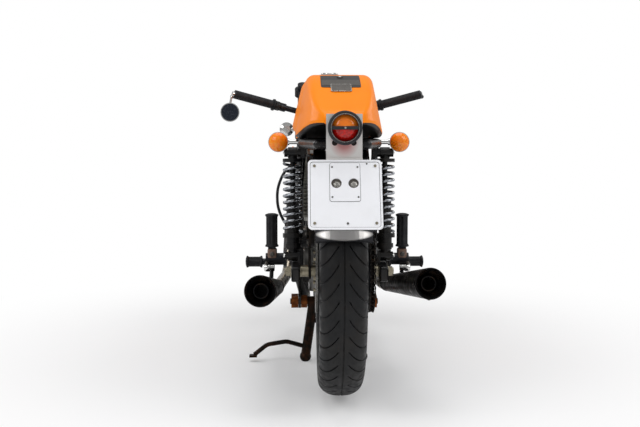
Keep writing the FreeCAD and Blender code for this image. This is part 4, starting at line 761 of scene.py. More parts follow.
def cut_tread(axle, half_width, outer):
    """Sweep the rows of one pitch back towards the shoulders and sink its slanted grooves."""
    held = bpy.context.object
    outer_end = half_width * SLANT_OUTER_SHARE
    mesh = bmesh.from_edit_mesh(held.data)
    for corner in mesh.verts:
        place = held.matrix_world @ corner.co - axle
        x, radius = abs(place.x) / MM, math.hypot(place.y, place.z) / MM
        turn = math.degrees(math.atan2(place.z, place.y))
        on_tread = SLANT_INNER_END < x < outer_end and radius > outer - half_width * SHOULDER_SHARE
        if on_tread and SLANT_BETWEEN[0] < abs(turn) < SLANT_BETWEEN[1]:
            radius -= SLANT_DEPTH
        sweep = math.radians(turn + groove_sweep((x - SLANT_INNER_END) / (outer_end - SLANT_INNER_END)))
        moved = Vector((place.x, math.cos(sweep) * radius * MM, math.sin(sweep) * radius * MM))
        corner.co = held.matrix_world.inverted() @ (moved + axle)
    bmesh.update_edit_mesh(held.data)


def treaded_tyre(name, wheel, axle, half_width, outer, seat, pitches):
    """One pitch of tread, made once and spun round the axle."""
    spun_pitch(axle, tyre_section(half_width, outer, seat), 360.0 / pitches)
    cut_tread(axle, half_width, outer)
    bpy.ops.mesh.select_all(action="SELECT")
    bpy.ops.mesh.spin(steps=pitches - 1, angle=math.tau * (pitches - 1) / pitches, center=axle,
                      axis=(1, 0, 0), dupli=True)
    return piece(closed_up(), name, TREAD, wheel, 50)


def tyres():
    """A wide rear tyre and a narrower front one, of one tread."""
    rear = treaded_tyre("rear_tyre_treaded", "rear_wheel", REAR_AXLE,
                        half_width=60.0, outer=336.0, seat=36.7, pitches=46)
    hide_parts("rear_tyre")
    front = treaded_tyre("front_tyre_treaded", "front_wheel", FRONT_AXLE,
                         half_width=50.0, outer=318.0, seat=28.7, pitches=44)
    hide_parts("front_tyre")


# Roller chain, in millimetres about its own lines

CHAIN_X = 86.0
CHAIN_PITCH = 15.875
REAR_TEETH = 43
GEARBOX_TEETH = 16
GEARBOX = Vector((CHAIN_X * MM, -0.930, 0.380))
SPROCKET_HUB = Vector((CHAIN_X * MM, REAR_AXLE.y, REAR_AXLE.z))
PINS_ON_NOSE = 8
PLATE_END_RADIUS = 5.6
PLATE_THICK = 1.5
OUTER_PLATES_X = (-6.9, 5.4)
INNER_PLATES_X = (-5.2, 3.7)
PIN_HALF_LENGTH = 7.5
CLEAR_OF_TEETH = 6


def pitch_radius(teeth):
    """The radius at which the pins lie on a sprocket, in metres."""
    return CHAIN_PITCH / 2 / math.sin(math.pi / teeth) * MM


def round_x(radius, turn):
    """A step of some radius at some turn about X."""
    return Vector((0, math.cos(turn), math.sin(turn))) * radius


def straight_run(start, end, parity):
    """Pins between two places, an even or odd number of them, so that plates alternate all round."""
    count = round((end - start).length / (CHAIN_PITCH * MM))
    count += (count + parity) % 2
    return [start.lerp(end, step / count) for step in range(1, count)]


def pin_places():
    """The chain's pins in order round both sprockets, in metres, set in the rear sprocket's gaps."""
    big, small = pitch_radius(REAR_TEETH), pitch_radius(GEARBOX_TEETH)
    slope = math.atan2(GEARBOX.z - SPROCKET_HUB.z, GEARBOX.y - SPROCKET_HUB.y)
    lean = math.acos((big - small) / (GEARBOX - SPROCKET_HUB).length)
    tooth = math.tau / REAR_TEETH
    first = math.ceil((slope + lean) / tooth - 0.5) + 0.5
    last = math.floor((slope - lean + math.tau) / tooth - 0.5) + 0.5
    back = [SPROCKET_HUB + round_x(big, (first + step) * tooth) for step in range(int(last - first) + 1)]
    nose = [GEARBOX + round_x(small, slope - lean + lean * 2 * step / (PINS_ON_NOSE - 1))
            for step in range(PINS_ON_NOSE)]
    upper = straight_run(nose[-1], back[0], len(back) + len(nose))
    return back + straight_run(back[-1], nose[0], 0) + nose + upper


def link_plate():
    """Figure-eight plate between two pins, lying along Y about its first pin."""
    outline = []
    for turns, y in (((-115, -145, 180, 145, 115), 0), ((65, 35, 0, -35, -65), CHAIN_PITCH)):
        for turn in turns:
            outline.append((Vector((0, y, 0)) + round_x(PLATE_END_RADIUS, math.radians(turn))) * MM)
    return cut_sheet(outline, Vector((PLATE_THICK * MM, 0, 0)))


def pin_end(side):
    """The riveted end of a pin, on one side of the chain."""
    rivet = [(0, 0), (2.2, 0), (2.5, 0.5), (2.5, 2.4), (0, 2.4)]
    return about((side * PIN_HALF_LENGTH * MM, 0, 0), (-side, 0, 0), rivet, 8)


def chain_links():
    """Inner and outer plates, rollers and riveted pins along the loop.

    On the rear sprocket only the pins' ends are there, because its teeth turn through the rollers' places.
    """
    plate = link_plate()
    pin = about((-PIN_HALF_LENGTH * MM, 0, 0), (1, 0, 0), [
        (0, 0), (2.2, 0), (2.5, 0.5), (2.5, 14.5), (2.2, 15), (0, 15)], 8)
    roller = about((-3.2 * MM, 0, 0), (1, 0, 0), [(0, 0), (4.8, 0), (4.8, 6.4), (0, 6.4)], 10)
    ends = (pin_end(-1), pin_end(1))
    places = pin_places()
    on_teeth = pitch_radius(REAR_TEETH) + CLEAR_OF_TEETH * MM
    plates, pins = [], []
    for index, at in enumerate(places):
        along = places[(index + 1) % len(places)] - at
        turn = Matrix.Translation(at) @ Matrix.Rotation(math.atan2(along.z, along.y), 4, "X")
        inside = ends if (at - SPROCKET_HUB).length < on_teeth else (pin, roller)
        pins += [copy_at(each, turn) for each in inside]
        stretch = Matrix.Scale(along.length / (CHAIN_PITCH * MM), 4, (0, 1, 0))
        for x in (OUTER_PLATES_X if index % 2 else INNER_PLATES_X):
            plates.append(copy_at(plate, turn @ Matrix.Translation((x * MM, 0, 0)) @ stretch))
    for pattern in (plate, pin, roller, *ends):
        bpy.data.objects.remove(pattern)
    links = piece(joined(plates), "chain_links", OILY, "frame")
    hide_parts("chain")
    # The pins and rollers take a lighter plating than the plates: partly their own finish, partly a painted
    # highlight for the bright bars across the chain.
    rollers = piece(joined(pins), "chain_pins_and_rollers", SCREW_DARK, "frame")


# Number plate, in millimetres across and down from the middle of its top edge

PLATE_TOP = Vector((0.0, -1.770, 0.661))
PLATE_TILT = math.radians(-24.8)
PLATE_SIDE = 177.0
PLATE_RIM = 5.0
WINDOW_X = 20.5
WINDOW_DOWN = 60.5
WINDOW_SUNK = 1.8
# Small screws as (across, down, out, radius)
PLATE_SCREWS = ((-30.5, 19, 1.5, 2.2), (30.5, 19, 1.5, 2.2), (-30.5, 96, 1.5, 2.2), (31.5, 96, 1.5, 2.2),
                (53, 10, 0.0, 2.0), (5, 162, 0.0, 2.8))


def on_plate(x, down, out=0.0):
    """A place on the plate, so far out from its face."""
    flat = Vector((x, -out, -down)) * MM
    return PLATE_TOP + Matrix.Rotation(PLATE_TILT, 3, "X") @ flat


def plate_out():
    """The way out of the plate's face."""
    return (on_plate(0, 0, 1) - on_plate(0, 0, 0)).normalized()


def rounded_rectangle(half, top, bottom, corner, reach):
    """Corners of a rectangle on the plate, rounded about its corner centres by a reach."""
    points = []
    for cx, cy, start in ((half - corner, top + corner, 0), (corner - half, top + corner, 90),
                          (corner - half, bottom - corner, 180), (half - corner, bottom - corner, 270)):
        for step in range(7):
            turn = math.radians(start + 15 * step)
            points.append((cx + reach * math.cos(turn), cy - reach * math.sin(turn)))
    return points


def painted_shade_line(name, half, top, bottom, corner, width=0.9, proud=0.35):
    """A thin black line of painted shade that runs round a rounded rectangle on the plate."""
    clear_selection()
    outside = rounded_rectangle(half, top, bottom, corner, corner)
    inside = rounded_rectangle(half, top, bottom, corner, corner - width)
    outer = cut_sheet([on_plate(x, down) for x, down in outside], plate_out() * proud * MM)
    inner = cut_sheet([on_plate(x, down, -0.5) for x, down in inside], plate_out() * 2 * MM)
    cutter = pick(outer).modifiers.new("middle", "BOOLEAN")
    cutter.object = inner
    cutter.solver = "EXACT"
    bpy.ops.object.modifier_apply(modifier="middle")
    bpy.data.objects.remove(inner)
    piece(outer, name, SHADE_LINE_PAINT, "frame")


def plate_details():
    """Painted shade lines and small screws on the blank plate, and the bolts in its two windows."""
    painted_shade_line("plate_rim_line", half=PLATE_SIDE / 2 - PLATE_RIM, top=PLATE_RIM,
                 bottom=PLATE_SIDE - PLATE_RIM, corner=7.0)
    painted_shade_line("plate_panel_line", half=36.9, top=7.6, bottom=107.4, corner=5.9)
    screw = slotted_screw()
    spots = [(on_plate(x, down, out), plate_out(), radius) for x, down, out, radius in PLATE_SCREWS]
    fastened(screw, "plate_small_screws", SCREW_DARK, "frame", spots)
    corners = [(on_plate(x, down, 0.1), plate_out(), 3.4) for x in (-73, 73) for down in (15.5, 161.5)]
    fastened(screw, "plate_corner_screws", ZINC, "frame", corners)
    bpy.data.objects.remove(screw)
    window_bolts()


def window_bolts():
    """A dark cup that stands in as painted shade, with a bright bolt set a little off its middle, behind each
    round window of the plate.
    """
    shade_cups, heads = [], []
    for x in (-WINDOW_X, WINDOW_X):
        at = on_plate(x, WINDOW_DOWN, -WINDOW_SUNK)
        shade_cups.append(about(at, plate_out(), [(12.2, 0), (12.2, 0.4), (11, 0.5), (0, 0.5)], 28))
        heads.append(about(at + on_plate(1.2, 2.6) - on_plate(0, 0), plate_out(), [
            (0, 0.4), (8.4, 0.4), (8.4, 1.0), (7.4, 1.3), (6.6, 1.3), (6.2, 2.2), (4.2, 2.9), (0, 3.0)], 6))
    piece(joined(shade_cups), "window_painted_shade_cups", SCREW_DARK, "frame")
    piece(joined(heads), "window_bolts", SATIN_TRIM, "frame")


# Tail lamp


def softened_block(centre, size, edge):
    """A block with bevelled edges about a centre, all in millimetres."""
    clear_selection()
    bpy.ops.mesh.primitive_cube_add(size=MM, location=Vector(centre) * MM)
    bpy.ops.object.mode_set(mode="EDIT")
    bpy.ops.transform.resize(value=size)
    bpy.ops.mesh.bevel(offset=edge * MM, segments=3, affect="EDGES")
    return ended()


def lamp_details():
    """Rubber bezel, bright inner ring, middle bar with its screw, and the seal behind the tail lamp."""
    bezel = about(TAIL_LAMP, (0, -1, 0), [
        (31.6, 0.5), (32.2, 6.8), (33.4, 7.6), (38.2, 7.2), (40.8, 4.6), (41.2, -9), (40.2, -9),
        (40.2, 0.5)], 56)
    piece(bezel, "lamp_bezel", LAMP_RUBBER, "frame")
    ring = about(TAIL_LAMP, (0, -1, 0), [(32.6, 7.0), (33.0, 8.0), (33.8, 8.1), (34.3, 7.4), (33.4, 6.6)], 56)
    piece(ring, "lamp_inner_ring", SATIN_TRIM, "frame")
    bar = softened_block(TAIL_LAMP / MM + Vector((0, -6.0, 0)), (65.0, 6.4, 8.2), 1.4)
    piece(bar, "lamp_bar", LAMP_RUBBER, "frame")
    screw = slotted_screw()
    place = TAIL_LAMP + Vector((0, -9.1, 0)) * MM
    fastened(screw, "lamp_screw", CHROME, "frame", [(place, (0.2, -1, 0.3), 2.6)])
    bpy.data.objects.remove(screw)
    seal = about(TAIL_LAMP + Vector((0, 8, 0)) * MM, (0, 1, 0), [
        (39, 0), (40.3, 0.8), (40.3, 2.4), (38.6, 3.2), (34, 3.2)], 48)
    piece(seal, "lamp_seal", RUBBER, "frame")


# Panel and lock on the hump, in metres

ABOVE_HUMP = 1.2
PANEL_DRAWN_AT = 0.95
PANEL_ROWS = 24
PANEL_COLUMNS = 10
LOCK_Y = -1.484
LOCK_FACING = (0, -0.25, 1)
# Plates that lie one on another, as (name, half width, front, rear, lift, thickness, finish, corner)
HUMP_PLATES = (
    ("hump_panel", 0.0520, -1.452, -1.568, 0.0002, 0.0010, PANEL, 0.006),
    ("hump_strip", 0.0500, -1.512, -1.556, 0.0011, 0.0006, SCREW_DARK, 0.003),
    ("hump_plaque", 0.0270, -1.550, -1.596, 0.0016, 0.0012, SATIN_TRIM, 0.004),
    ("hump_plaque_face", 0.0250, -1.554, -1.592, 0.0026, 0.0007, SCREW_DARK, 0.003),
)


def on_hump(x, y):
    """The hump's skin below a place, by a ray from above."""
    return nodes["seat_cowl"].ray_cast(Vector((x, y, ABOVE_HUMP)), DOWN)[1]


def hump_panel(name, half_wide, front, rear, lift, thick, finish, corner):
    """A thin plate that lies on the hump, its corners rounded."""
    clear_selection()
    bpy.ops.mesh.primitive_plane_add(size=1, location=(0, (front + rear) / 2, PANEL_DRAWN_AT))
    made = bpy.context.object
    bpy.ops.object.mode_set(mode="EDIT")
    bpy.ops.transform.resize(value=(2 * half_wide, front - rear, 1))
    bpy.ops.mesh.select_mode(type="VERT")
    bpy.ops.mesh.select_all(action="SELECT")
    bpy.ops.mesh.bevel(offset=corner, segments=4, affect="VERTICES")
    for cut in range(1, PANEL_ROWS):
        bpy.ops.mesh.select_all(action="SELECT")
        across = (0, rear + (front - rear) * cut / PANEL_ROWS, 0)
        bpy.ops.mesh.bisect(plane_co=across, plane_no=(0, 1, 0))
    for cut in range(1 - PANEL_COLUMNS, PANEL_COLUMNS):
        bpy.ops.mesh.select_all(action="SELECT")
        bpy.ops.mesh.bisect(plane_co=(half_wide * cut / PANEL_COLUMNS, 0, 0), plane_no=(1, 0, 0))
    held = bmesh.from_edit_mesh(made.data)
    for spot in held.verts:
        place = made.matrix_world @ spot.co
        spot.co = made.matrix_world.inverted() @ (on_hump(place.x, place.y) + Vector((0, 0, lift)))
    bmesh.update_edit_mesh(made.data)
    ended()
    wall = pick(made).modifiers.new("wall", "SOLIDIFY")
    wall.thickness = thick
    wall.offset = 1
    bpy.ops.object.modifier_apply(modifier="wall")
    bpy.ops.object.mode_set(mode="EDIT")
    return piece(closed_up(), name, finish, "frame")


def hump_details():
    """Plain dark panel with a pale-edged strip and a small round lock on top of the hump."""
    for plate in HUMP_PLATES:
        hump_panel(*plate)
    at = on_hump(0, LOCK_Y) + Vector((0, -0.3, 1.0)) * MM
    lock = about(at, LOCK_FACING, [(0, 0), (9, 0), (9, 2.2), (8, 3), (6.2, 3), (6, 2.4), (0, 2.4)], 28)
    piece(lock, "hump_lock_ring", SCREW_DARK, "frame")
    front_of_ring = at + Vector((0, -0.6, 2.4)) * MM
    barrel = about(front_of_ring, LOCK_FACING, [(0, 0), (5.6, 0), (5.6, 1.2), (5, 1.7), (0, 1.7)], 24)
    piece(barrel, "hump_lock_barrel", CHROME, "frame")


# Seat cushion, in metres

PAD_FLOOR = 0.7186
PAD_TAKEN_IN = (0.965, 0.985, 0.93)
PAD_GRAIN = 6 * MM
PAD_PRESSURE = 4
PAD_FRAMES = 20
PAD_SWELLS_BY = 0.007
PAD_UPPER = 0.745
PAD_CHANNELS = (-1.03, -1.11, -1.19)
CHANNEL_HALF_WIDTH = 0.0045
CHANNEL_DEPTH = 0.0042
CHANNEL_END_X = 0.098
CHANNEL_FADE = 0.02
STITCH_PITCH = 6.2 * MM
STITCHES_EACH_SIDE = 14
ABOVE_PAD = 0.9
WELT_FRONT_Y = -0.918
WELT_STEP = 0.0296
WELT_KNOTS = 13
BESIDE_SHOULDER = (0.128, 0.792)


def stuffed_pad():
    """The cushion taken in a little, its cover blown out as cloth, its channels sewn down."""
    source = nodes["seat_pad"]
    pad = bpy.data.objects.new("seat_cushion", source.data.copy())
    pad.data.transform(source.matrix_world)
    bpy.context.scene.collection.objects.link(pad)
    corners = pad.data.vertices
    middle = sum((corner.co for corner in corners), Vector()) / len(corners)
    for corner in corners:
        corner.co = middle + (corner.co - middle) * Vector(PAD_TAKEN_IN)
    even = pick(pad).modifiers.new("even", "REMESH")
    even.mode = "VOXEL"
    even.voxel_size = PAD_GRAIN
    bpy.ops.object.modifier_apply(modifier="even")
    blow_out(pad)
    finer = pad.modifiers.new("finer", "SUBSURF")
    finer.levels = 1
    finer.render_levels = 1
    bpy.ops.object.modifier_apply(modifier="finer")
    for corner in pad.data.vertices:
        corner.co.z = max(corner.co.z, PAD_FLOOR)
        if corner.co.z > PAD_UPPER:
            fade = min(max((CHANNEL_END_X - abs(corner.co.x)) / CHANNEL_FADE, 0), 1)
            sunk = sum(math.exp(-((corner.co.y - y) / CHANNEL_HALF_WIDTH) ** 2) for y in PAD_CHANNELS)
            corner.co.z -= CHANNEL_DEPTH * fade * sunk
    return pad


def blow_out(pad):
    """Run the cover as cloth under pressure, and keep no more than a few millimetres of its swelling."""
    rest = [corner.co.copy() for corner in pad.data.vertices]
    cover = pad.modifiers.new("stuffing", "CLOTH")
    cover.settings.use_pressure = True
    cover.settings.uniform_pressure_force = PAD_PRESSURE
    cover.settings.effector_weights.gravity = 0
    cover.point_cache.frame_start = 1
    cover.point_cache.frame_end = PAD_FRAMES
    for step in range(PAD_FRAMES):
        bpy.context.scene.frame_set(step + 1)
    blown = pad.evaluated_get(bpy.context.evaluated_depsgraph_get()).data
    moves = [after.co - before for after, before in zip(blown.vertices, rest)]
    pad.modifiers.remove(cover)
    bpy.context.scene.frame_set(1)
    for corner, before, move in zip(pad.data.vertices, rest, moves):
        corner.co = before + move * min(1.0, PAD_SWELLS_BY / max(move.length, 1e-9))


def welt(pad, side):
    """The sewn welt along one shoulder of the pad."""
    line = []
    for step in range(WELT_KNOTS):
        y = WELT_FRONT_Y - step * WELT_STEP
        beside = Vector((side * BESIDE_SHOULDER[0], y, BESIDE_SHOULDER[1]))
        at, normal = pad.closest_point_on_mesh(beside)[1:3]
        line.append(at + normal * 0.4 * MM)
    return rounded_bar(line, 2.4 * MM, 8)


def channel_stitches(pad):
    """A row of stitches along each sewn channel."""
    bend = [Vector((x, 0, z)) * MM for x, z in ((-2.2, -0.8), (-1.2, 0.25), (1.2, 0.25), (2.2, -0.8))]
    stitch = rounded_bar(bend, 0.5 * MM, 3)
    made = []
    for y in PAD_CHANNELS:
        for count in range(-STITCHES_EACH_SIDE, STITCHES_EACH_SIDE + 1):
            at = pad.ray_cast(Vector((count * STITCH_PITCH, y, ABOVE_PAD)), DOWN)[1]
            made.append(copy_at(stitch, Matrix.Translation(at)))
    bpy.data.objects.remove(stitch)
    return made


def seat():
    """Stuffed pad with sewn channels, a welt along each shoulder and stitches in the channels."""
    pad = stuffed_pad()
    trims = [welt(pad, -1), welt(pad, 1)] + channel_stitches(pad)
    pad = piece(pad, "seat_cushion", COVER, "frame", 60)
    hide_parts("seat_pad")
    piece(joined(trims), "seat_welts_and_stitches", THREAD, "frame", 60)


# Places on the machine


def fork_place(x, up, ahead=0.0):
    """A place x to the side, so far up the steering axis and ahead of it, in millimetres."""
    forward = STEER_AHEAD * (ahead * MM - FORK_OFFSET)
    return FRONT_AXLE + STEER_UP * up * MM + forward + Vector((x * MM, 0, 0))


def landed(name, start, toward):
    """Where a ray from a start in millimetres first meets a node, and the way out of it."""
    node = nodes[name]
    inward = node.matrix_world.inverted()
    way = inward.to_3x3() @ Vector(toward)
    hit, at = node.ray_cast(inward @ (Vector(start) * MM), way)[:2]
    if not hit:
        raise ValueError(name + " isn't met from " + str(start))
    return node.matrix_world @ at, -Vector(toward).normalized()


def ring_x(centre, reach, turns):
    """Places (y, z) in millimetres on a ring square to X, at some turns in degrees."""
    y, z = centre
    angles = [math.radians(turn) for turn in turns]
    return [(y + reach * math.cos(angle), z + reach * math.sin(angle)) for angle in angles]


def round_face(centre, face_x, side, reach, turns, radius):
    """Fasteners round a cover whose face is square to X."""
    ring = ring_x(centre, reach, turns)
    return [(Vector((side * face_x, y, z)) * MM, (side, 0, 0), radius) for y, z in ring]


def even_turns(count, start=0.0):
    """Turns in degrees that divide a full circle evenly."""
    return [start + 360.0 * k / count for k in range(count)]


# Fasteners on the machine, in millimetres

REAR_BOLT_RING = 52
FRONT_BOLT_RING = 50
# Round covers as (centre (y, z), face x, side, reach, turns, screw radius)
ENGINE_COVERS = (
    ((-590, 300), 97, -1, 68, even_turns(7, 10), 4.4),
    ((-775, 318), 91, -1, 77, even_turns(8, 35), 4.4),
    ((-662, 300), 93, 1, 80, even_turns(9, 5), 4.4),
    ((-866, 372), 87, 1, 38, (-62, 0, 62), 3.6),
)


def wheel_bolts(bolt):
    """Disc and sprocket bolts, on their wheels."""
    rear = []
    for y, z in ring_x((REAR_AXLE.y / MM, REAR_AXLE.z / MM), REAR_BOLT_RING, even_turns(6, 15)):
        rear.append((*landed("rear_disc", (-100, y, z), (1, 0, 0)), 5.0))
        rear.append((*landed("sprocket", (104, y, z), (-1, 0, 0)), 5.0))
    fastened(bolt, "rear_wheel_bolts", ZINC, "rear_wheel", rear)
    front = []
    for side in (-1, 1):
        for y, z in ring_x((FRONT_AXLE.y / MM, FRONT_AXLE.z / MM), FRONT_BOLT_RING, even_turns(6, 30)):
            front.append((*landed("front_discs", (side * 90, y, z), (-side, 0, 0)), 4.6))
    fastened(bolt, "front_wheel_bolts", ZINC, "front_wheel", front)


def engine_screws(bolt):
    """Screws round the engine's covers, nuts on its head, and the shock absorbers' nuts."""
    spots = []
    for cover in ENGINE_COVERS:
        spots += round_face(*cover)
    fastened(bolt, "engine_cover_screws", CHROME, "frame", spots)
    nuts = [(*landed("cylinder_head", (x, y, 800), DOWN), 5.5) for y in (-706, -584) for x in (-90, 90)]
    nut = domed_nut()
    fastened(nut, "head_nuts", CHROME, "frame", nuts)
    studs = [(Vector((side * 140.5, y, z)) * MM, (side, 0, 0), 9.0) for side in (-1, 1)
             for y, z in ((-1420, 671), (-1440, 388))]
    fastened(nut, "shock_nuts", CHROME, "frame", studs)
    bpy.data.objects.remove(nut)


def frame_bolts():
    """Hexagon heads on the rear caliper, a silencer, the front calipers and the yokes."""
    head = hexagon_head()
    spots = [(*landed("rear_caliper", (-300, y, z), (1, 0, 0)), 6.0) for y, z in ((-1440, 425), (-1462, 452))]
    spots += [(*landed("silencers", (225, y, 250), (0, 0, 1)), 4.0) for y in (-1630, -1600)]
    fastened(head, "frame_hexagon_heads", SCREW_DARK, "frame", spots)
    clamps = []
    for side in (-1, 1):
        for y, z in ((-100, 362), (-104, 392)):
            clamps.append((*landed("front_calipers", (side * 200, y, z), (-side, 0, 0)), 5.5))
        for up in (444, 636):
            behind = fork_place(side * FORK_X, up, FORK_OFFSET / MM) / MM - Vector((0, 150, 0))
            clamps.append((*landed("yokes", behind, (0, 1, 0)), 4.6))
    clamps.append((fork_place(0, 656), STEER_UP, 13.0))
    fastened(head, "steering_hexagon_heads", CHROME, "steering", clamps)
    bpy.data.objects.remove(head)


def cover_screws():
    """Slotted screws on the side covers."""
    screw = slotted_screw()
    spots = []
    for side in (-1, 1):
        for y, z in ((-908, 668), (-1066, 542), (-1072, 667)):
            spots.append((*landed("side_covers", (side * 300, y, z), (-side, 0, 0)), 4.5))
    fastened(screw, "side_cover_screws", CHROME, "frame", spots)
    bpy.data.objects.remove(screw)


# Engine trim and tyre valves


def engine_trim():
    """Finned collars at the exhaust ports, and the oil filler."""
    fins = [(19.6, 0), (24, 0)]
    for step in range(4):
        fins += [(25, step * 4.0), (33, step * 4.0 + 0.4), (33, step * 4.0 + 2.0), (25, step * 4.0 + 2.4)]
    fins += [(24, 15), (19.6, 15)]
    collars = [about(Vector((side * 88, -547, 612)) * MM, (0, 1, 0), fins, 36) for side in (-1, 1)]
    piece(joined(collars), "port_collars", CASTING, "frame")
    filler = about(Vector((44, -752, 428)) * MM, (0, 0, 1), [
        (0, 0), (19, 0), (19, 5), (16, 5.5), (16, 13), (14.5, 15), (5, 15), (4.5, 19), (0, 19.4)], 20)
    piece(filler, "oil_filler", ALLOY, "frame")


RIM_INSIDE = 0.2315


def tyre_valves():
    """A rubber valve stem in each rim."""
    for axle, body, turn in ((REAR_AXLE, "rear_wheel", 205), (FRONT_AXLE, "front_wheel", 150)):
        out = round_x(1, math.radians(turn))
        stem = about(axle + out * RIM_INSIDE, -out, [
            (0, 0), (4.5, 0), (4, 7), (3, 8), (3, 24), (3.8, 24.6), (3.8, 33), (0, 33.5)], 12)
        piece(stem, body + "_valve", RUBBER, body)


# Clocks, headlamp and bars, in millimetres about their own axes

CLOCK_X = 48
CLOCK_UP = 637.2
CLOCK_AHEAD = 112
TICK_COUNT = 28
TICK_FIRST_TURN = -45
TICK_TURN = 10
TICK_OUTER = 31.5
HEADLAMP_GLASS = Vector((0, -88.8, 780)) * MM


def dial_tick(length, turn):
    """One tick of a dial that lies at the origin."""
    clear_selection()
    bpy.ops.mesh.primitive_cube_add(size=MM)
    bpy.ops.object.mode_set(mode="EDIT")
    bpy.ops.transform.resize(value=(length, 1.1, 0.3))
    bpy.ops.transform.translate(value=((TICK_OUTER - length / 2) * MM, 0, 0.15 * MM))
    mark = ended()
    mark.data.transform(Matrix.Rotation(math.radians(turn), 4, "Z"))
    return mark


def clock_faces():
    """Dial, ticks, needle and bezel of each instrument; plain ticks, no lettering."""
    for side, name, needle in ((-1, "left_clock", 215), (1, "right_clock", 235)):
        at = fork_place(side * CLOCK_X, CLOCK_UP, CLOCK_AHEAD)
        dial = about(at, STEER_UP, [(0, 0), (34.6, 0), (34.6, 0.5), (0, 0.5)], 40)
        piece(dial, name + "_dial", DIAL, "steering")
        rim = about(at, STEER_UP, [
            (34.7, 2.4), (40.2, 2.4), (40.8, 3.4), (40.6, 5.2), (38.6, 6.6), (35.6, 6.2), (34.7, 4.6)], 48)
        piece(rim, name + "_bezel", CHROME, "steering")
        marks = [dial_tick(3.6 if step % 3 else 6.5, TICK_FIRST_TURN + step * TICK_TURN)
                 for step in range(TICK_COUNT)]
        hand = drawn_needle()
        hand.data.transform(Matrix.Rotation(math.radians(needle), 4, "Z"))
        face = joined(marks + [hand])
        face.data.transform(facing_matrix(at + STEER_UP * 0.5 * MM, STEER_UP))
        piece(face, name + "_ticks", TICKS, "steering")


def drawn_needle():
    """A tapered needle on a round hub, lying at the origin."""
    corners = [Vector((x, y, 1.4)) * MM for x, y in ((-7, -1.4), (-7, 1.4), (27, 0.5), (28, 0), (27, -0.5))]
    hand = cut_sheet(corners, Vector((0, 0, 0.6 * MM)))
    hub = about((0, 0, 0), (0, 0, 1), [(0, 0.2), (3.6, 0.2), (3.6, 2.4), (2.8, 3.0), (0, 3.1)], 20)
    return joined([hand, hub])


def lamp_inside():
    """Shallow reflector with its bulb behind a thin fluted glass."""
    bowl = about(HEADLAMP_GLASS, (0, 1, 0), [
        (11, 0.4), (11, 3.0), (15, 3.4), (18, 1.2), (40, 0.9), (62, 2.6), (80, 6.5), (82, 6.6), (82, 0.2),
        (11, 0.2)], 56)
    piece(bowl, "headlamp_reflector", REFLECTOR, "steering")
    bulb = about(HEADLAMP_GLASS, (0, 1, 0), [
        (0, 0.3), (9.5, 0.3), (9.5, 3.5), (8, 8), (5, 11), (2, 12.3), (0, 12.6)], 24)
    piece(bulb, "headlamp_bulb", SATIN_TRIM, "steering")
    turns = [math.radians(90 * step / 14) for step in range(15)]
    outer = [(82.6 * math.cos(turn), 0.4 + 15.4 * math.sin(turn)) for turn in turns]
    inner = [(80.4 * math.cos(turn), 0.4 + 13.2 * math.sin(turn)) for turn in reversed(turns)]
    glass = about(HEADLAMP_GLASS, (0, 1, 0), outer + inner, 64)
    glass = piece(glass, "headlamp_lens", GLASS, "steering", 50)
    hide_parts("headlamp_glass")


BAR_CLAMP_UP = 546
BAR_END = (350, -352, 867)


def bar_point(side, x):
    """A place on a bar so far from the middle, and the way out along the bar."""
    clamp = fork_place(side * FORK_X, BAR_CLAMP_UP, FORK_OFFSET / MM)
    end = Vector((side * BAR_END[0], BAR_END[1], BAR_END[2])) * MM
    return clamp.lerp(end, (x - FORK_X) / (BAR_END[0] - FORK_X)), (end - clamp).normalized()


def bar_controls():
    """Switch pod on the left bar, throttle drum and end plug on the right."""
    at, out = bar_point(-1, 193)
    pod = about(at - out * 8 * MM, out, [
        (11.2, 0), (16.5, 0), (18, 1.5), (18, 9), (17.2, 9.6), (18, 10.2), (18, 17.5), (16.5, 19),
        (11.2, 19)], 28)
    button = about(at + Vector((0, -17.5, 2)) * MM, (0, -1, 0.1), [
        (0, 0), (5, 0), (5, 3), (4, 4), (0, 4)], 16)
    slider = about(at + Vector((0, -15.5, 10)) * MM, (0, -0.6, 0.8), [
        (0, 0), (3.4, 0), (3.2, 4.5), (2, 5), (0, 5)], 14)
    piece(joined([pod, button, slider]), "switch_pod", PLASTIC, "steering")
    at, out = bar_point(1, 194)
    drum = about(at - out * 9 * MM, out, [
        (11.2, 0), (18.5, 0), (20, 1.5), (20, 8.6), (19.2, 9.2), (20, 9.8), (20, 16.5), (18.5, 18),
        (11.2, 18)], 28)
    piece(drum, "throttle_drum", PLASTIC, "steering")
    at, out = bar_point(1, 350)
    plug = about(at + out * 0.4 * MM, out, [(0, 0), (11.5, 0), (12.5, 1), (12.5, 6), (10.5, 9), (0, 10)], 24)
    piece(plug, "bar_plug", ALLOY, "steering")


# Footrests, in millimetres

FLUTE_TURN = 22.5
FLUTE_SUNK = 0.91
FLANGE_PROUD = 2.8


def fluted_sleeve(start, end, radius):
    """Rubber sleeve between two places: lengthwise flutes, a flange at each end and a domed cap."""
    along = Vector(end) - Vector(start)
    length = along.length
    flange = radius + FLANGE_PROUD
    sleeve = about(Vector(start) * MM, along, [
        (0, 0), (radius * 0.8, 0), (flange, 1.6), (flange, 5), (radius, 9), (radius, length / 2),
        (radius, length - 11), (flange, length - 7), (flange, length - 4), (radius * 0.7, length - 1),
        (radius * 0.35, length - 0.3), (0, length)], 48)
    straight = facing_matrix(Vector(start) * MM, along).inverted()
    back = straight.inverted()
    for corner in sleeve.data.vertices:
        place = straight @ corner.co
        reach = math.hypot(place.x, place.y) / MM
        sector = int((math.degrees(math.atan2(place.y, place.x)) + 360) / FLUTE_TURN)
        if abs(reach - radius) < 0.2 and sector % 2:
            corner.co = back @ Vector((place.x * FLUTE_SUNK, place.y * FLUTE_SUNK, place.z))
    return sleeve


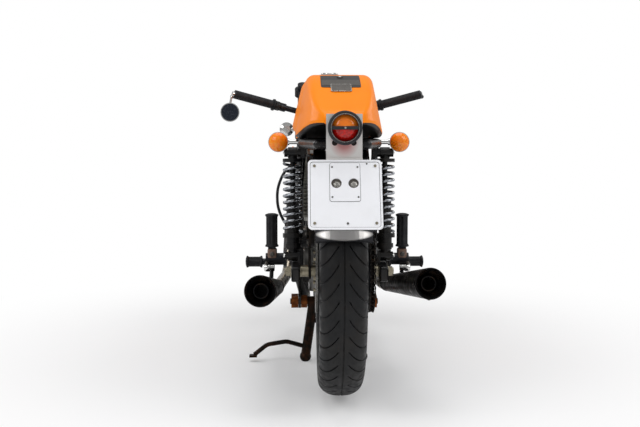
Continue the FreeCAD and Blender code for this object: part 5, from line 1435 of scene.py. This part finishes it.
def peg_sleeves():
    """Fluted sleeves on the rider's pegs and on the passenger's, which are folded up."""
    sleeves = []
    for side in (-1, 1):
        sleeves.append(fluted_sleeve((side * 188, -1310, 397), (side * 188, -1310, 495), 16.4))
        sleeves.append(fluted_sleeve((side * 222, -1110, 328), (side * 275, -1110, 328), 15.4))
    sleeves = piece(joined(sleeves), "fluted_peg_rubbers", RUBBER, "frame")
    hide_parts("peg_rubbers")


def peg_joints():
    """The brown clevis under each passenger's peg, its polished knuckle and its bolts."""
    clevises, knuckles, bolts = [], [], []
    for side in (-1, 1):
        clevises.append(softened_block((side * 187, -1311, 376), (27, 30, 34), 4))
        knuckles.append(about(Vector((side * 180, -1318, 338)) * MM, (side, 0, 0), [
            (0, 0), (8, 0), (10.5, 1.5), (10.5, 11), (9.5, 12), (9.5, 14), (11.5, 15), (11.5, 27), (9.5, 30),
            (4, 31), (0, 31)], 28))
        bolts.append((Vector((side * 187, -1326, 378)) * MM, (0, -1, 0), 5.5))
        bolts.append((Vector((side * 203, -1326, 352)) * MM, (0, -1, 0), 4.0))
    piece(joined(clevises), "peg_clevises", CLEVIS, "frame")
    piece(joined(knuckles), "peg_knuckles", CHROME, "frame")
    head = hexagon_head()
    fastened(head, "peg_bolts", SCREW_DARK, "frame", bolts)
    bpy.data.objects.remove(head)


# Studio

SKY_STRENGTH = 0.40
STUDIO_LAMPS = (
    ("lamp_left", (-3.2, -3.6, 3.4), 2.6, 66),
    ("lamp_right", (3.0, -3.0, 3.2), 2.4, 52),
    ("lamp_top", (0.0, -1.0, 4.2), 3.0, 60),
    ("lamp_front_left", (-3.4, 1.8, 2.6), 2.0, 30),
    ("lamp_front_right", (3.4, 1.8, 2.6), 2.0, 30),
)
LAMPS_AIM = Vector((0, -1.2, 0.5))
FLOOR_MIDDLE = (0, -0.9, 0)
FLOOR_FADE = (0.35, 1.75)
FLOOR_GLOW_BELOW = 0.15


def seen_share(tree):
    """1 for rays that the eye sends, straight or through glass, and 0 for light that falls on the object."""
    path = add(tree, "ShaderNodeLightPath").outputs
    return add(tree, "ShaderNodeMath", {"operation": "MAXIMUM"}, i0=path["Is Camera Ray"],
               i1=path["Is Transmission Ray"]).outputs[0]


def paper_floor():
    """White paper that takes the shadow near the machine and fades to pure white further off."""
    clear_selection()
    bpy.ops.mesh.primitive_plane_add(size=60, location=(0, 0, 0))
    floor = bpy.context.object
    floor.name = "floor"
    paper = surface("white_paper", "F4F4F5", 0.9)
    tree = paper.node_tree
    place = add(tree, "ShaderNodeTexCoord").outputs["Object"]
    away = add(tree, "ShaderNodeVectorMath", {"operation": "DISTANCE"}, i0=place, i1=FLOOR_MIDDLE)
    fade = add(tree, "ShaderNodeMapRange", {"interpolation_type": "SMOOTHSTEP"}, Value=away.outputs["Value"],
               From_Min=FLOOR_FADE[0], From_Max=FLOOR_FADE[1], To_Min=FLOOR_GLOW_BELOW, To_Max=1.0)
    share = add(tree, "ShaderNodeMath", {"operation": "MULTIPLY"}, i0=fade.outputs["Result"],
                i1=seen_share(tree)).outputs[0]
    white = add(tree, "ShaderNodeEmission", Color=linear("FFFFFF"), Strength=1.0).outputs[0]
    mixed = add(tree, "ShaderNodeMixShader", Fac=share, i1=tree.nodes["Principled BSDF"].outputs[0], i2=white)
    tree.links.new(mixed.outputs[0], tree.nodes["Material Output"].inputs["Surface"])
    floor.data.materials.append(paper)


def surround():
    """A pale sky that is white to the eye alone."""
    world = bpy.data.worlds.new("surround")
    bpy.context.scene.world = world
    world.use_nodes = True
    tree = world.node_tree
    sky = tree.nodes["Background"]
    sky.inputs["Color"].default_value = linear("FFFFFF")
    sky.inputs["Strength"].default_value = SKY_STRENGTH
    white = add(tree, "ShaderNodeBackground", Color=linear("FFFFFF"), Strength=1.0).outputs[0]
    mixed = add(tree, "ShaderNodeMixShader", Fac=seen_share(tree), i1=sky.outputs[0], i2=white)
    tree.links.new(mixed.outputs[0], tree.nodes["World Output"].inputs["Surface"])


def soft_lamps():
    """Large square lamps round the machine, all aimed at its rear half."""
    for name, at, size, power in STUDIO_LAMPS:
        light = bpy.data.lights.new(name, "AREA")
        light.size = size
        light.energy = power
        lamp = bpy.data.objects.new(name, light)
        bpy.context.scene.collection.objects.link(lamp)
        lamp.location = at
        lamp.rotation_euler = (LAMPS_AIM - Vector(at)).to_track_quat("-Z", "Y").to_euler()


def camera_as_in_photograph():
    """The camera where the photograph was taken from, with its lens."""
    data = bpy.data.cameras.new("camera")
    data.sensor_width = SENSOR
    data.lens = SENSOR * FOCAL_PIXELS / PICTURE_WIDTH
    camera = bpy.data.objects.new("camera", data)
    bpy.context.scene.collection.objects.link(camera)
    camera.location = CAMERA_AT
    camera.rotation_euler = (math.radians(90 - CAMERA_PITCH), 0, math.radians(-CAMERA_YAW))
    bpy.context.scene.camera = camera


tyres()
chain_links()
plate_details()
lamp_details()
hump_details()
seat()
bolt = socket_head()
wheel_bolts(bolt)
engine_screws(bolt)
bpy.data.objects.remove(bolt)
frame_bolts()
cover_screws()
engine_trim()
tyre_valves()
clock_faces()
lamp_inside()
bar_controls()
peg_sleeves()
peg_joints()
paper_floor()
surround()
soft_lamps()
camera_as_in_photograph()
bpy.context.scene.view_settings.view_transform = "Standard"
